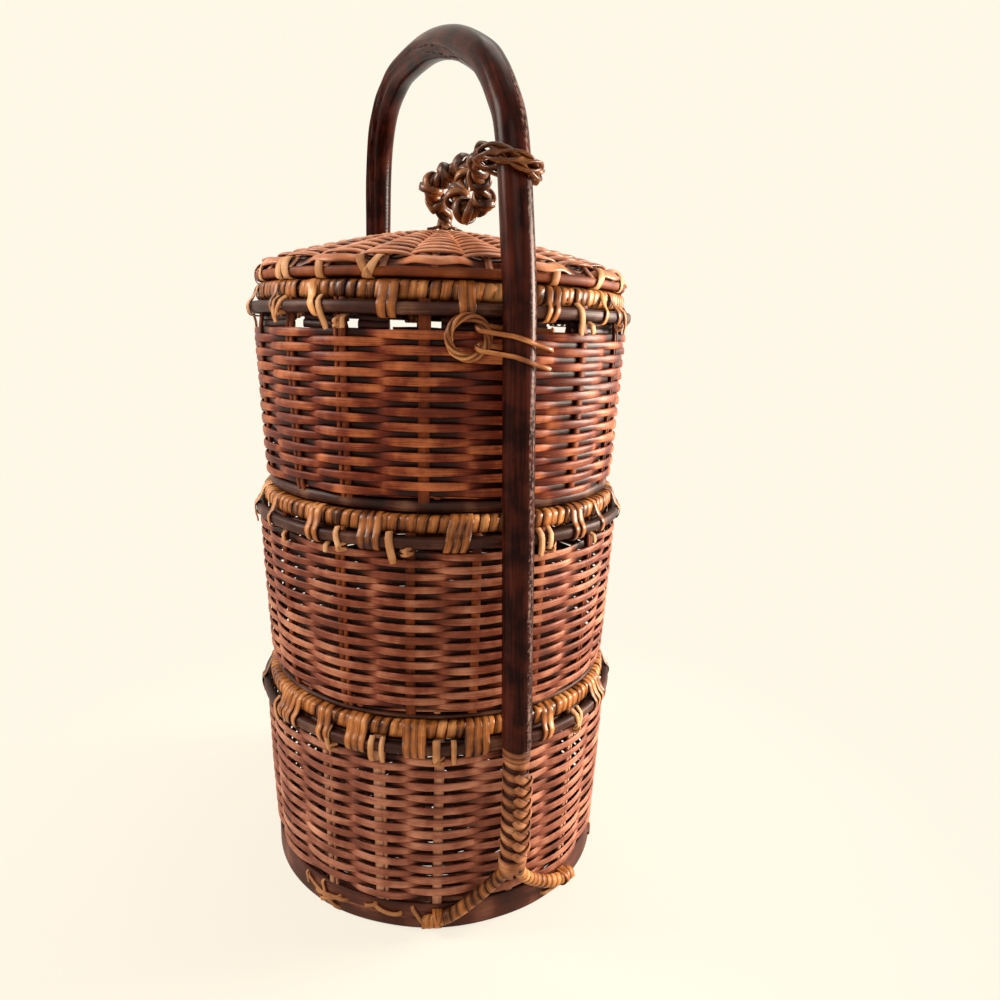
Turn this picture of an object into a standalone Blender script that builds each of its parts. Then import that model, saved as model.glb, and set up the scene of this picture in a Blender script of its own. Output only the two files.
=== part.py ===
"""Tiered food basket: three nesting woven tiers and a lid, carried in a lashed cane handle.

The basket stands on Z = 0 and its axis is Z. The handle's legs stand at +X, the front, and at -X, the back.
Lengths are in metres. Each tier and the lid is modelled from its own seat, the plane that it rests on.
"""

import math
from dataclasses import dataclass

import bmesh
import bpy
import numpy as np
from mathutils import Matrix, Vector

# Gaps between pieces
FIT_GAP = 0.0003
NEST_GAP = 0.0005
LOOP_GAP = 0.0004

# Turned pieces
RING_STEPS = 28
SMALL_RING_STEPS = 16
MERGE_DISTANCE = 0.00001
SHARP_ANGLE = math.radians(40.0)

# Lower hoop, a half-round strip outside the stakes
HOOP_RADIUS = 0.1250
HOOP_DEPTH = 0.0046
HOOP_HEIGHT = 0.0080
STAKE_THICKNESS = 0.0026
STAKE_WIDTH = 0.0055

# Bound hoop on top of each rim, and the hoop inside the stakes
RIM_INSET = 0.0100
RIM_CANE_RADIUS = 0.0032
RIM_RISE = 0.0094
INNER_HOOP_DEPTH = 0.0036
INNER_HOOP_HEIGHT = 0.0060

# Cane lacing that holds the three hoops together
LACING_DIAMETER = 0.0016

# Woven walls, their stakes and the slots between the stakes under each lower hoop
STAKES = 17
BOTTOM_TURN = math.radians(3.6)
MIDDLE_TURN = math.radians(-7.8)
TOP_TURN = math.radians(-1.0)
BOTTOM_SLOT = 0.0030
MIDDLE_SLOT = 0.0034
TOP_SLOT = 0.0050
WALL_TOP_INSET = 0.0020
WALL_TAPER = 0.0052
WALL_THICKNESS = 0.0042
WINDOW_SILL = 0.0003
WEAVE_SINK = 0.0022
FLOOR_THICKNESS = 0.0030

# Tier heights, from the seat to the middle of the lower hoop
BOTTOM_TIER_HEIGHT = 0.1276
UPPER_TIER_HEIGHT = 0.1100

# Wide band round the bottom tier's foot, and the hoop under its floor
FOOT_BAND_THICKNESS = 0.0028
FOOT_BAND_HEIGHT = 0.0240
FOOT_CLEARANCE = 0.0020
FLOOR_HOOP_DEPTH = 0.0045
FLOOR_HOOP_HEIGHT = 0.0050

# Foot hoop and nesting collar of the upper tiers, and of the lid
MIDDLE_FOOT_HEIGHT = 0.0028
TOP_FOOT_HEIGHT = 0.0070
FOOT_HOOP_OUTREACH = 0.0005
COLLAR_THICKNESS = 0.0025
NEST_DEPTH = 0.0060

# Lid
LID_HOOP_DEPTH = 0.0044
LID_HOOP_HEIGHT = 0.0078
LID_SHELL_THICKNESS = 0.0024
LID_RISE = 0.0310
LID_CROWN = 0.0024
LID_WEAVE_SINK = 0.0012

# Handle
LEG_RADIUS = 0.0089
LEG_GAP = 0.0007
LEG_CORE_RADIUS = 0.0066
CANE_END_RISE = 0.0054
CORE_END_Z = 0.0580
HANDLE_LEAN = math.radians(1.72)
ARCH_RISE = 0.1575
SPRING_BELOW_LID = 0.0101

# Lashing, plait and wide wrap at the foot of each leg
LASHING_DIAMETER = 0.0016
LASHING_LOOPS = 8
LASHING_POINTS = 8
PLAIT_WIDTH = 0.0080
PLAIT_THICKNESS = 0.0026
PLAIT_BELOW_CANE = 0.0200
PLAIT_TURN = math.radians(12.0)
WIDE_WRAP_THICKNESS = 0.0016
WIDE_WRAP_HEIGHT = 0.0090
WIDE_WRAP_BELOW_CORE = 0.0060

# Wrapped arms that spread over the foot band, and their ties
ARM_DIAMETER = 0.0066
ARM_SPLIT = 0.0072
ARM_END_Z = 0.0083
ARM_TIE_DIAMETER = 0.0018
ARM_SPREADS = {"left": math.radians(-23.0), "right": math.radians(29.0)}

# Knotted tether from the lid's apex to the ring round the front leg
TETHER_DIAMETER = 0.0070
LEG_RING_SLACK = 0.0046
LEG_RING_DEPTH = 0.0044
LEG_RING_HEIGHT = 0.0070
LEG_RING_RISE = 0.0560
LEG_RING_INSET = 0.0020
LEG_RING_SHIFT = 0.0016
LEG_RING_TILT_X = math.radians(-15.0)
LEG_RING_TILT_Y = math.radians(5.0)
TETHER_MEETS_RING = math.radians(201.0)

# Small latch ring and the cane turns that hold it to the front leg
LATCH_RING_RADIUS = 0.0104
LATCH_RING_DIAMETER = 0.0035
LATCH_RING_DROP = 0.0137
LATCH_RING_SHIFT = 0.0305
LATCH_TIE_DIAMETER = 0.0016
LATCH_TIE_TURNS = 2
LATCH_TIE_POINTS = 14
LATCH_TIE_PITCH = 0.0100
LATCH_TIE_DROP = 0.0063
LATCH_TIE_SLOPE = 0.15
LATCH_TIE_SLACK = 0.0020

# Points along the arch after the front leg, as shares of the leg's offset and of the arch's rise
ARCH_SHARES = (
    (0.980, 0.18),
    (0.947, 0.41),
    (0.909, 0.555),
    (0.845, 0.645),
    (0.757, 0.735),
    (0.640, 0.812),
    (0.366, 0.920),
    (0.040, 0.985),
    (-0.335, 1.000),
    (-0.530, 0.975),
    (-0.710, 0.912),
    (-0.830, 0.802),
    (-0.905, 0.635),
    (-0.955, 0.395),
    (-0.990, 0.15),
)
# Cane thickness along the handle, as a share of the leg's, from the front spring to the back one
CANE_THICKNESS_SHARES = (1.0, 0.97, 0.97, 0.98, 1.0, 1.03, 1.06, 1.09, 1.11, 1.11, 1.11, 1.11, 1.10, 1.09, 1.07)

# Route of an arm: its share of the spread, of the drop to its end, and of the way in to the foot band
ARM_ROUTE_SHARES = (
    (0.00, 0.12, 0.00),
    (0.04, 0.26, 0.22),
    (0.12, 0.42, 0.52),
    (0.24, 0.58, 0.78),
    (0.38, 0.72, 0.93),
    (0.54, 0.84, 1.00),
    (0.70, 0.92, 1.00),
    (0.86, 0.97, 1.00),
    (1.00, 1.00, 1.00),
)

# Route of the tether: its share of the leg's offset, then its sideways reach and its height above the apex as
# shares of the leg ring's rise
TETHER_ROUTE_SHARES = (
    (0.015, 0.000, 0.141),
    (0.059, -0.152, 0.275),
    (0.104, -0.250, 0.373),
    (0.149, -0.188, 0.471),
    (0.193, -0.071, 0.552),
    (0.245, 0.009, 0.579),
    (0.297, 0.018, 0.480),
    (0.327, -0.080, 0.320),
    (0.353, -0.161, 0.177),
    (0.394, -0.089, 0.070),
    (0.438, 0.027, 0.105),
    (0.483, 0.009, 0.221),
    (0.565, -0.125, 0.320),
    (0.669, -0.223, 0.346),
)

# Red, green, blue and roughness of each kind of piece
FINISH_SHARES = {
    "weave": (0.330, 0.115, 0.052, 0.55),
    "golden_cane": (0.480, 0.240, 0.085, 0.45),
    "dark_hoop": (0.060, 0.022, 0.012, 0.50),
    "foot_bamboo": (0.110, 0.035, 0.022, 0.60),
    "lacquered_cane": (0.030, 0.009, 0.006, 0.25),
    "lid_weave": (0.450, 0.160, 0.060, 0.50),
    "plaited_cane": (0.400, 0.200, 0.100, 0.55),
    "knotted_rattan": (0.150, 0.060, 0.022, 0.45),
}

# Sizes that follow from the ones above
RIM_RADIUS = HOOP_RADIUS - RIM_INSET
WALL_TOP_RADIUS = HOOP_RADIUS - WALL_TOP_INSET
WALL_FOOT_RADIUS = WALL_TOP_RADIUS - WALL_TAPER
STAKE_PITCH = 2 * math.pi / STAKES
STAKE_OUTER = HOOP_RADIUS - HOOP_DEPTH - FIT_GAP
STAKE_INNER = STAKE_OUTER - STAKE_THICKNESS
INNER_HOOP_OUTER = STAKE_INNER - FIT_GAP
INNER_HOOP_INNER = INNER_HOOP_OUTER - INNER_HOOP_DEPTH
FACET_SAG = RIM_RADIUS * (1 - math.cos(math.pi / RING_STEPS))
LACING_REACH = LACING_DIAMETER / 2 + FIT_GAP
LACING_STEP = math.radians(45.0)
LACING_RIM_REACH = (RIM_CANE_RADIUS + LACING_REACH + FACET_SAG) / math.cos(LACING_STEP / 2)
CROWN_RISE = RIM_RISE + LACING_RIM_REACH + LACING_DIAMETER / 2
SEAT_RISE = CROWN_RISE + FIT_GAP
NEST_RADIUS = RIM_RADIUS - LACING_RIM_REACH - LACING_DIAMETER / 2 - NEST_GAP
FOOT_HOOP_INNER = NEST_RADIUS + FIT_GAP
FOOT_HOOP_OUTER = RIM_RADIUS + FOOT_HOOP_OUTREACH
LID_SEAT_Z = BOTTOM_TIER_HEIGHT + SEAT_RISE + 2 * (UPPER_TIER_HEIGHT + SEAT_RISE)
LEG_X = HOOP_RADIUS + LEG_GAP + LEG_RADIUS
CANE_END_Z = BOTTOM_TIER_HEIGHT + CANE_END_RISE
SPRING_Z = LID_SEAT_Z - SPRING_BELOW_LID
LATCH_RING_TURN = -LATCH_RING_SHIFT / HOOP_RADIUS
LEG_RING_RADIUS = LEG_RADIUS + LEG_RING_SLACK + LEG_RING_DEPTH / 2
LASHING_RADIUS = (LEG_CORE_RADIUS + FIT_GAP + LASHING_DIAMETER / 2) / math.cos(math.pi / LASHING_POINTS)
WIDE_WRAP_INNER = (ARM_SPLIT + ARM_DIAMETER) / 2 + FIT_GAP
WIDE_WRAP_LOW = CORE_END_Z - WIDE_WRAP_BELOW_CORE
WIDE_WRAP_HIGH = WIDE_WRAP_LOW + WIDE_WRAP_HEIGHT
ARM_BAND_RADIUS = WALL_FOOT_RADIUS + FIT_GAP + ARM_DIAMETER / 2


@dataclass(frozen=True)
class Tier:
    """One woven tier, measured from its seat."""

    name: str
    turn: float
    seat_z: float
    height: float
    foot: float
    slot: float

    @property
    def weave_top(self):
        """Height of the top of the weave above the seat."""
        return self.height - HOOP_HEIGHT / 2 - self.slot

    @property
    def stitch_turns(self):
        """Turn angles of the lacing's stitches, each just past a stake."""
        past_stake = (STAKE_WIDTH / 2 + LACING_DIAMETER + LOOP_GAP) / HOOP_RADIUS
        return [self.turn + past_stake + k * STAKE_PITCH for k in range(STAKES)]


def stacked_tiers():
    """Return the three tiers, each seated on the one below."""
    middle_seat = BOTTOM_TIER_HEIGHT + SEAT_RISE
    top_seat = LID_SEAT_Z - SEAT_RISE - UPPER_TIER_HEIGHT
    return (
        Tier("bottom", BOTTOM_TURN, 0.0, BOTTOM_TIER_HEIGHT, FOOT_CLEARANCE, BOTTOM_SLOT),
        Tier("middle", MIDDLE_TURN, middle_seat, UPPER_TIER_HEIGHT, MIDDLE_FOOT_HEIGHT, MIDDLE_SLOT),
        Tier("top", TOP_TURN, top_seat, UPPER_TIER_HEIGHT, TOP_FOOT_HEIGHT, TOP_SLOT),
    )


def clear_scene():
    """Remove every object that the scene starts with."""
    for item in list(bpy.data.objects):
        bpy.data.objects.remove(item, do_unlink=True)


def new_collection(name):
    """Return a new collection linked to the scene."""
    collection = bpy.data.collections.new(name)
    bpy.context.scene.collection.children.link(collection)
    return collection


def new_material(name, kind):
    """Return a Principled material for one piece, in the colour of its kind."""
    material = bpy.data.materials.new(name)
    material.use_nodes = True
    shader = material.node_tree.nodes["Principled BSDF"]
    red, green, blue, roughness = FINISH_SHARES[kind]
    shader.inputs["Base Color"].default_value = (red, green, blue, 1.0)
    shader.inputs["Roughness"].default_value = roughness
    shader.inputs["Metallic"].default_value = 0.0
    return material


class Bench:
    """Places finished pieces: their collection, their material and what carries them."""

    def __init__(self):
        self.parts = new_collection("tiered_food_basket")
        self.cutters = new_collection("cutters")

    def carrier(self, name, place, turn=0.0):
        """Return an empty that carries the pieces of one moving body."""
        empty = bpy.data.objects.new(name, None)
        empty.location = place
        empty.rotation_euler = (0.0, 0.0, turn)
        self.parts.objects.link(empty)
        return empty

    def add(self, name, data, kind, parent=None):
        """Add one piece under its carrier."""
        piece = bpy.data.objects.new(name, data)
        data.materials.append(new_material(name, kind))
        piece.parent = parent
        self.parts.objects.link(piece)
        return piece

    def turned(self, name, profile, kind, parent=None, closed=True, steps=RING_STEPS):
        """Turn a profile about Z. It runs down its outer side; a closed one makes a ring."""
        mesh = bpy.data.meshes.new(name)
        count = len(profile)
        edges = [(i, (i + 1) % count) for i in range(count if closed else count - 1)]
        mesh.from_pydata([(radius, 0.0, height) for radius, height in profile], edges, [])
        piece = self.add(name, mesh, kind, parent)
        screw = piece.modifiers.new("turn", "SCREW")
        screw.axis = "Z"
        screw.angle = 2 * math.pi
        screw.steps = steps
        screw.render_steps = steps
        screw.use_merge_vertices = True
        screw.merge_threshold = MERGE_DISTANCE
        return piece

    def band(self, name, outer, inner, low, high, kind, parent=None, steps=RING_STEPS):
        """Add a plain flat-sided ring."""
        profile = [(outer, high), (outer, low), (inner, low), (inner, high)]
        return self.turned(name, profile, kind, parent, steps=steps)

    def shade_round(self):
        """Apply the turned pieces' modifiers and shade them smooth between their edges."""
        depsgraph = bpy.context.evaluated_depsgraph_get()
        for piece in self.parts.objects:
            if piece.type == "MESH":
                shape = bpy.data.meshes.new_from_object(piece.evaluated_get(depsgraph))
                shape.shade_smooth()
                shape.set_sharp_from_angle(angle=SHARP_ANGLE)
                piece.modifiers.clear()
                piece.data = shape

    def tube(self, name, points, diameter, kind, parent=None, resolution=1, shares=None):
        """Add a round tube with closed ends along points, of even or of changing thickness."""
        curve = bpy.data.curves.new(name, "CURVE")
        curve.dimensions = "3D"
        curve.bevel_depth = diameter / 2
        curve.bevel_resolution = resolution
        curve.use_fill_caps = True
        spline = curve.splines.new("POLY")
        spline.points.add(len(points) - 1)
        for index, point in enumerate(points):
            spline.points[index].co = (*point, 1.0)
            spline.points[index].radius = shares[index] if shares else 1.0
        return self.add(name, curve, kind, parent)


def catmull(points, steps):
    """Return a smooth curve through points, with steps pieces between each two."""
    knots = [np.array(p, dtype=float) for p in points]
    knots = [2 * knots[0] - knots[1], *knots, 2 * knots[-1] - knots[-2]]
    curve = []
    for a, b, c, d in zip(knots, knots[1:], knots[2:], knots[3:]):
        for step in range(steps):
            u = step / steps
            spread = 2 * a - 5 * b + 4 * c - d
            curve.append((2 * b + (c - a) * u + spread * u**2 + (3 * b - a - 3 * c + d) * u**3) / 2)
    curve.append(knots[-2])
    return curve


def polar(radius, turn, height):
    """Return the point at a radius and a turn about Z."""
    return (radius * math.cos(turn), radius * math.sin(turn), height)


def least_gap(points, diameter):
    """Return a tube's least gap to itself, measured between points spread along it."""
    path = np.array(points, dtype=float)
    runs = np.linalg.norm(np.diff(path, axis=0), axis=1)
    along = np.concatenate(([0.0], np.cumsum(runs)))
    marks = np.arange(0.0, along[-1], diameter / 2)
    spots = np.stack([np.interp(marks, along, path[:, axis]) for axis in range(3)], axis=1)
    gap = math.inf
    for index, spot in enumerate(spots):
        far = spots[marks > marks[index] + math.pi * diameter]
        if len(far):
            gap = min(gap, float(np.linalg.norm(far - spot, axis=1).min()))
    return gap - diameter


def report_gap(name, points, diameter):
    """Print the least gap of a winding to itself."""
    print(f"{name}: least gap between turns {least_gap(points, diameter) * 1000:.2f} mm")


def half_round(outer, depth, low, high):
    """Return the profile of a half-round strip with its flat side inwards."""
    middle = (low + high) / 2
    rise = (high - low) / 2
    angles = [math.radians(a) for a in (90.0, 45.0, 0.0, -45.0, -90.0)]
    return [(outer - depth + depth * math.cos(a), middle + rise * math.sin(a)) for a in angles]


def cane_round(radius, height, cane_radius):
    """Return the profile of a round cane bent to a hoop."""
    angles = [math.radians(90.0 - 60.0 * k) for k in range(6)]
    return [(radius + cane_radius * math.cos(a), height + cane_radius * math.sin(a)) for a in angles]


def add_valleys(form, tier, weave_low):
    """Add the wedges that sink the weave where its strands cross, half way between each two stakes."""
    half = STAKE_PITCH / 2 - STAKE_WIDTH / 2 / WALL_FOOT_RADIUS
    beyond = WALL_FOOT_RADIUS + 2 * WEAVE_SINK
    outline = ((WALL_FOOT_RADIUS, -half), (WALL_FOOT_RADIUS - WEAVE_SINK, 0.0), (WALL_FOOT_RADIUS, half))
    outline += ((beyond, half), (beyond, -half))
    low = weave_low - WINDOW_SILL / 2
    high = tier.weave_top + WINDOW_SILL / 2
    faces = []
    for k in range(STAKES):
        turn = tier.turn + (k + 0.5) * STAKE_PITCH
        corners = [form.verts.new(polar(radius, turn + side, low)) for radius, side in outline]
        faces.append(form.faces.new(corners))
    raised = bmesh.ops.extrude_face_region(form, geom=faces)["geom"]
    tops = [part for part in raised if isinstance(part, bmesh.types.BMVert)]
    flare = WALL_TOP_RADIUS / WALL_FOOT_RADIUS
    bmesh.ops.scale(form, vec=(flare, flare, 1.0), verts=tops)
    bmesh.ops.translate(form, vec=(0.0, 0.0, high - low), verts=tops)
    bmesh.ops.recalc_face_normals(form, faces=form.faces)


def weave_cutter(bench, tier, parent, weave_low):
    """Return the cutter for the slots between a tier's stakes and the valleys of the weave below them."""
    low = tier.weave_top + WINDOW_SILL
    high = tier.height - HOOP_HEIGHT / 2
    width = 2 * STAKE_OUTER * math.sin(STAKE_PITCH / 2) - STAKE_WIDTH
    depth = WALL_THICKNESS + HOOP_DEPTH
    form = bmesh.new()
    add_valleys(form, tier, weave_low)
    for k in range(STAKES):
        turn = tier.turn + (k + 0.5) * STAKE_PITCH
        place = Matrix.Translation(polar((STAKE_INNER + STAKE_OUTER) / 2, turn, (low + high) / 2))
        size = Matrix.Diagonal((depth, width, high - low, 1.0))
        bmesh.ops.create_cube(form, size=1.0, matrix=place @ Matrix.Rotation(turn, 4, "Z") @ size)
    mesh = bpy.data.meshes.new(f"{tier.name}_weave_cuts")
    form.to_mesh(mesh)
    form.free()
    cutter = bpy.data.objects.new(mesh.name, mesh)
    cutter.parent = parent
    cutter.hide_render = True
    cutter.display_type = "WIRE"
    bench.cutters.objects.link(cutter)
    return cutter


def make_wall(bench, tier, parent, foot_profile):
    """Make a woven wall as a closed shell, sunk between its stakes and open between them above the weave."""
    top = tier.weave_top
    stake_top = tier.height + RIM_RISE - RIM_CANE_RADIUS - FIT_GAP
    profile = [
        (STAKE_OUTER, stake_top),
        (STAKE_OUTER, top),
        (WALL_TOP_RADIUS, top),
        *foot_profile,
        (WALL_TOP_RADIUS - WALL_THICKNESS, top),
        (STAKE_INNER, top + WINDOW_SILL / 2),
        (STAKE_INNER, stake_top),
    ]
    wall = bench.turned(f"{tier.name}_wall", profile, "weave", parent)
    cut = wall.modifiers.new("weave_cuts", "BOOLEAN")
    cut.operation = "DIFFERENCE"
    cut.solver = "EXACT"
    cut.object = weave_cutter(bench, tier, parent, foot_profile[0][1])


def lacing_section(tier):
    """Return one stitch round the three hoops, as radius and height, from inside up over the rim."""
    under = tier.height - HOOP_HEIGHT / 2 - LACING_REACH
    outside = HOOP_RADIUS + LACING_REACH
    stitch = [
        (INNER_HOOP_INNER - FACET_SAG - LACING_REACH, under),
        (HOOP_RADIUS - HOOP_DEPTH * 0.56, under),
        (outside, tier.height - HOOP_HEIGHT * 0.32),
        (outside, tier.height + HOOP_HEIGHT * 0.25),
    ]
    for k in range(4):
        angle = LACING_STEP * (k + 1.1)
        radius = RIM_RADIUS + LACING_RIM_REACH * math.cos(angle)
        stitch.append((radius, tier.height + RIM_RISE + LACING_RIM_REACH * math.sin(angle)))
    return stitch


def make_lacing(bench, tier, parent):
    """Make a rim's lacing: one cane, stitched round the hoops past each stake and carried on inside."""
    section = lacing_section(tier)
    inside = section[0][0]
    face = INNER_HOOP_INNER - FACET_SAG - FIT_GAP
    start = tier.stitch_turns[0] - LACING_DIAMETER / inside
    path = [polar(face, start, tier.height), polar(face - LACING_DIAMETER, start, tier.height)]
    for turn in tier.stitch_turns:
        path += [polar(radius, turn, height) for radius, height in section]
    end = tier.stitch_turns[-1] + STAKE_PITCH / 2
    path.append(polar(face - LACING_DIAMETER, end, tier.height))
    path.append(polar(face, end, tier.height))
    name = f"{tier.name}_rim_lacing"
    report_gap(name, path, LACING_DIAMETER)
    bench.tube(name, path, LACING_DIAMETER, "golden_cane", parent)


def make_rim(bench, tier, parent):
    """Make the three hoops of a rim and their lacing."""
    low = tier.height - HOOP_HEIGHT / 2
    high = tier.height + HOOP_HEIGHT / 2
    lower = half_round(HOOP_RADIUS, HOOP_DEPTH, low, high)
    bench.turned(f"{tier.name}_lower_hoop", lower, "dark_hoop", parent)
    rim = cane_round(RIM_RADIUS, tier.height + RIM_RISE, RIM_CANE_RADIUS)
    bench.turned(f"{tier.name}_rim_hoop", rim, "golden_cane", parent)
    inner_low = tier.height - INNER_HOOP_HEIGHT / 2
    inner_high = tier.height + INNER_HOOP_HEIGHT / 2
    name = f"{tier.name}_inner_hoop"
    bench.band(name, INNER_HOOP_OUTER, INNER_HOOP_INNER, inner_low, inner_high, "dark_hoop", parent)
    make_lacing(bench, tier, parent)


def make_floor(bench, name, radius, low, parent):
    """Make a woven floor as a plain disc."""
    high = low + FLOOR_THICKNESS
    profile = [(0.0, high), (radius, high), (radius, low), (0.0, low)]
    bench.turned(name, profile, "weave", parent, closed=False)


def make_bottom_tier(bench, tier):
    """Make the bottom tier: its wall runs down inside a wide foot band."""
    outer = WALL_FOOT_RADIUS - FOOT_BAND_THICKNESS - FIT_GAP
    inner = outer - WALL_THICKNESS
    above_band = FOOT_BAND_HEIGHT + FIT_GAP
    foot = [
        (WALL_FOOT_RADIUS, above_band),
        (outer, above_band),
        (outer, tier.foot),
        (inner, tier.foot),
        (inner, above_band),
    ]
    make_wall(bench, tier, None, foot)
    make_rim(bench, tier, None)
    band_inner = WALL_FOOT_RADIUS - FOOT_BAND_THICKNESS
    bench.band("bottom_foot_band", WALL_FOOT_RADIUS, band_inner, 0.0, FOOT_BAND_HEIGHT, "foot_bamboo")
    hoop_outer = inner - FIT_GAP
    hoop_inner = hoop_outer - FLOOR_HOOP_DEPTH
    hoop_top = tier.foot + FLOOR_HOOP_HEIGHT
    bench.band("bottom_floor_hoop", hoop_outer, hoop_inner, tier.foot, hoop_top, "dark_hoop")
    make_floor(bench, "bottom_floor", hoop_outer, hoop_top + FIT_GAP, None)


def make_upper_tier(bench, tier):
    """Make a tier that nests in the one below, and return its carrier."""
    lift = bench.carrier(f"{tier.name}_lift", (0.0, 0.0, tier.seat_z))
    inner = WALL_FOOT_RADIUS - WALL_THICKNESS
    make_wall(bench, tier, lift, [(WALL_FOOT_RADIUS, tier.foot), (inner, tier.foot)])
    make_rim(bench, tier, lift)
    hoop_top = tier.foot - FIT_GAP
    bench.band(f"{tier.name}_foot_hoop", FOOT_HOOP_OUTER, FOOT_HOOP_INNER, 0.0, hoop_top, "dark_hoop", lift)
    collar_inner = NEST_RADIUS - COLLAR_THICKNESS
    bench.band(f"{tier.name}_nest_collar", NEST_RADIUS, collar_inner, -NEST_DEPTH, hoop_top, "foot_bamboo", lift)
    make_floor(bench, f"{tier.name}_floor", inner - FIT_GAP, tier.foot, lift)
    return lift


def lid_shell_mesh(profile, skin):
    """Return the lid's shell: its profile spun about Z, with its skin sunk between the ribs."""
    form = bmesh.new()
    corners = [form.verts.new((*polar(radius, TOP_TURN, height),)) for radius, height in profile]
    edges = [form.edges.new(pair) for pair in zip(corners, corners[1:])]
    spin = {"cent": (0.0, 0.0, 0.0), "axis": (0.0, 0.0, 1.0), "angle": 2 * math.pi, "use_merge": True}
    bmesh.ops.spin(form, geom=[*corners, *edges], steps=2 * STAKES, **spin)
    bmesh.ops.remove_doubles(form, verts=form.verts, dist=MERGE_DISTANCE)
    bmesh.ops.recalc_face_normals(form, faces=form.faces)
    for vert in form.verts:
        column = round((math.atan2(vert.co.y, vert.co.x) - TOP_TURN) / (STAKE_PITCH / 2))
        reach = math.hypot(vert.co.x, vert.co.y)
        on_skin = any(math.dist((reach, vert.co.z), point) < MERGE_DISTANCE for point in skin)
        if column % 2 and on_skin:
            vert.co.z -= LID_WEAVE_SINK
    mesh = bpy.data.meshes.new("lid_shell")
    form.to_mesh(mesh)
    form.free()
    return mesh


def make_lid(bench):
    """Make the lid: a shallow woven cone with its edge hoop, foot hoop and collar, and return its carrier."""
    lift = bench.carrier("lid_lift", (0.0, 0.0, LID_SEAT_Z))
    hoop_outer = FOOT_HOOP_OUTER + FIT_GAP + LID_HOOP_DEPTH
    edge_low = LID_HOOP_HEIGHT + FIT_GAP
    edge_high = edge_low + LID_SHELL_THICKNESS
    apex = edge_low + LID_RISE
    bulge = edge_high + (apex - edge_high) / 2 + LID_CROWN
    profile = [
        (0.0, apex),
        (hoop_outer / 2, bulge),
        (hoop_outer, edge_high),
        (hoop_outer, edge_low),
        (FOOT_HOOP_INNER, edge_low),
        (hoop_outer / 2, bulge - LID_SHELL_THICKNESS),
        (0.0, apex - LID_SHELL_THICKNESS),
    ]
    bench.add("lid_shell", lid_shell_mesh(profile, profile[1:3]), "lid_weave", lift)
    bench.turned("lid_hoop", half_round(hoop_outer, LID_HOOP_DEPTH, 0.0, LID_HOOP_HEIGHT), "dark_hoop", lift)
    bench.band("lid_foot_hoop", FOOT_HOOP_OUTER, FOOT_HOOP_INNER, 0.0, LID_HOOP_HEIGHT, "dark_hoop", lift)
    collar_inner = NEST_RADIUS - COLLAR_THICKNESS
    bench.band("lid_collar", NEST_RADIUS, collar_inner, -NEST_DEPTH, LID_HOOP_HEIGHT / 2, "golden_cane", lift)
    make_tether(bench, lift, apex)
    return lift


def ring_mesh(name, radius, depth, height, segments):
    """Return a round ring of an oval section, lying flat about Z."""
    sides = 6
    form = bmesh.new()
    section = [polar(depth / 2, 2 * math.pi * k / sides, 0.0) for k in range(sides)]
    corners = [form.verts.new((radius + x, 0.0, y * height / depth)) for x, y, _ in section]
    edges = [form.edges.new((corners[k], corners[(k + 1) % sides])) for k in range(sides)]
    spin = {"cent": (0.0, 0.0, 0.0), "axis": (0.0, 0.0, 1.0), "angle": 2 * math.pi, "use_merge": True}
    bmesh.ops.spin(form, geom=corners + edges, steps=segments, **spin)
    bmesh.ops.remove_doubles(form, verts=form.verts, dist=MERGE_DISTANCE)
    bmesh.ops.recalc_face_normals(form, faces=form.faces)
    mesh = bpy.data.meshes.new(name)
    form.to_mesh(mesh)
    form.free()
    return mesh


def make_tether(bench, lift, apex):
    """Make the knotted tether and the ring that it holds round the front leg."""
    tilt = Matrix.Rotation(LEG_RING_TILT_X, 4, "X") @ Matrix.Rotation(LEG_RING_TILT_Y, 4, "Y")
    leg_x, leg_y, _ = front_leg_place(LID_SEAT_Z + LEG_RING_RISE)
    place = Matrix.Translation((leg_x - LEG_RING_INSET, leg_y - LEG_RING_SHIFT, LEG_RING_RISE)) @ tilt
    mesh = ring_mesh("leg_ring", LEG_RING_RADIUS, LEG_RING_DEPTH, LEG_RING_HEIGHT, 20)
    ring = bench.add("leg_ring", mesh, "knotted_rattan", lift)
    ring.matrix_local = place
    outer = LEG_RING_RADIUS + LEG_RING_DEPTH / 2 + FIT_GAP
    end = place @ Vector(polar(outer, TETHER_MEETS_RING, 0.0))
    before = place @ Vector(polar(outer + TETHER_DIAMETER, TETHER_MEETS_RING, 0.0))
    start = [(0.0, 0.0, apex + FIT_GAP), (0.0, 0.0, apex + FIT_GAP + TETHER_DIAMETER / 2)]
    middle = [(LEG_X * x, LEG_RING_RISE * y, apex + LEG_RING_RISE * z) for x, y, z in TETHER_ROUTE_SHARES]
    route = catmull([*start, *middle, tuple(before), tuple(end)], 2)
    bench.tube("lid_tether", route, TETHER_DIAMETER, "knotted_rattan", lift, 2)


def leaned(x, z):
    """Return a point of the handle's plane, which leans sideways above the lashing."""
    return (x, -math.tan(HANDLE_LEAN) * max(z - CANE_END_Z, 0.0), z)


def handle_route():
    """Return the handle's route in its own plane: reach, height and share of the leg's thickness."""
    core_share = LEG_CORE_RADIUS / LEG_RADIUS
    step_z = CANE_END_Z - FIT_GAP
    leg = [(LEG_X, CORE_END_Z, core_share), (LEG_X, step_z, core_share), (LEG_X, CANE_END_Z, 1.0)]
    arch = [(LEG_X * x, SPRING_Z + ARCH_RISE * z) for x, z in ARCH_SHARES]
    knots = [(LEG_X, SPRING_Z), *arch, (-LEG_X, SPRING_Z)]
    shares = [1.0, *CANE_THICKNESS_SHARES, 1.0]
    bend = catmull([(x, z, share) for (x, z), share in zip(knots, shares)], 2)
    back = [(-x, z, share) for x, z, share in reversed(leg)]
    return [*leg, *[tuple(p) for p in bend], *back]


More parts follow.
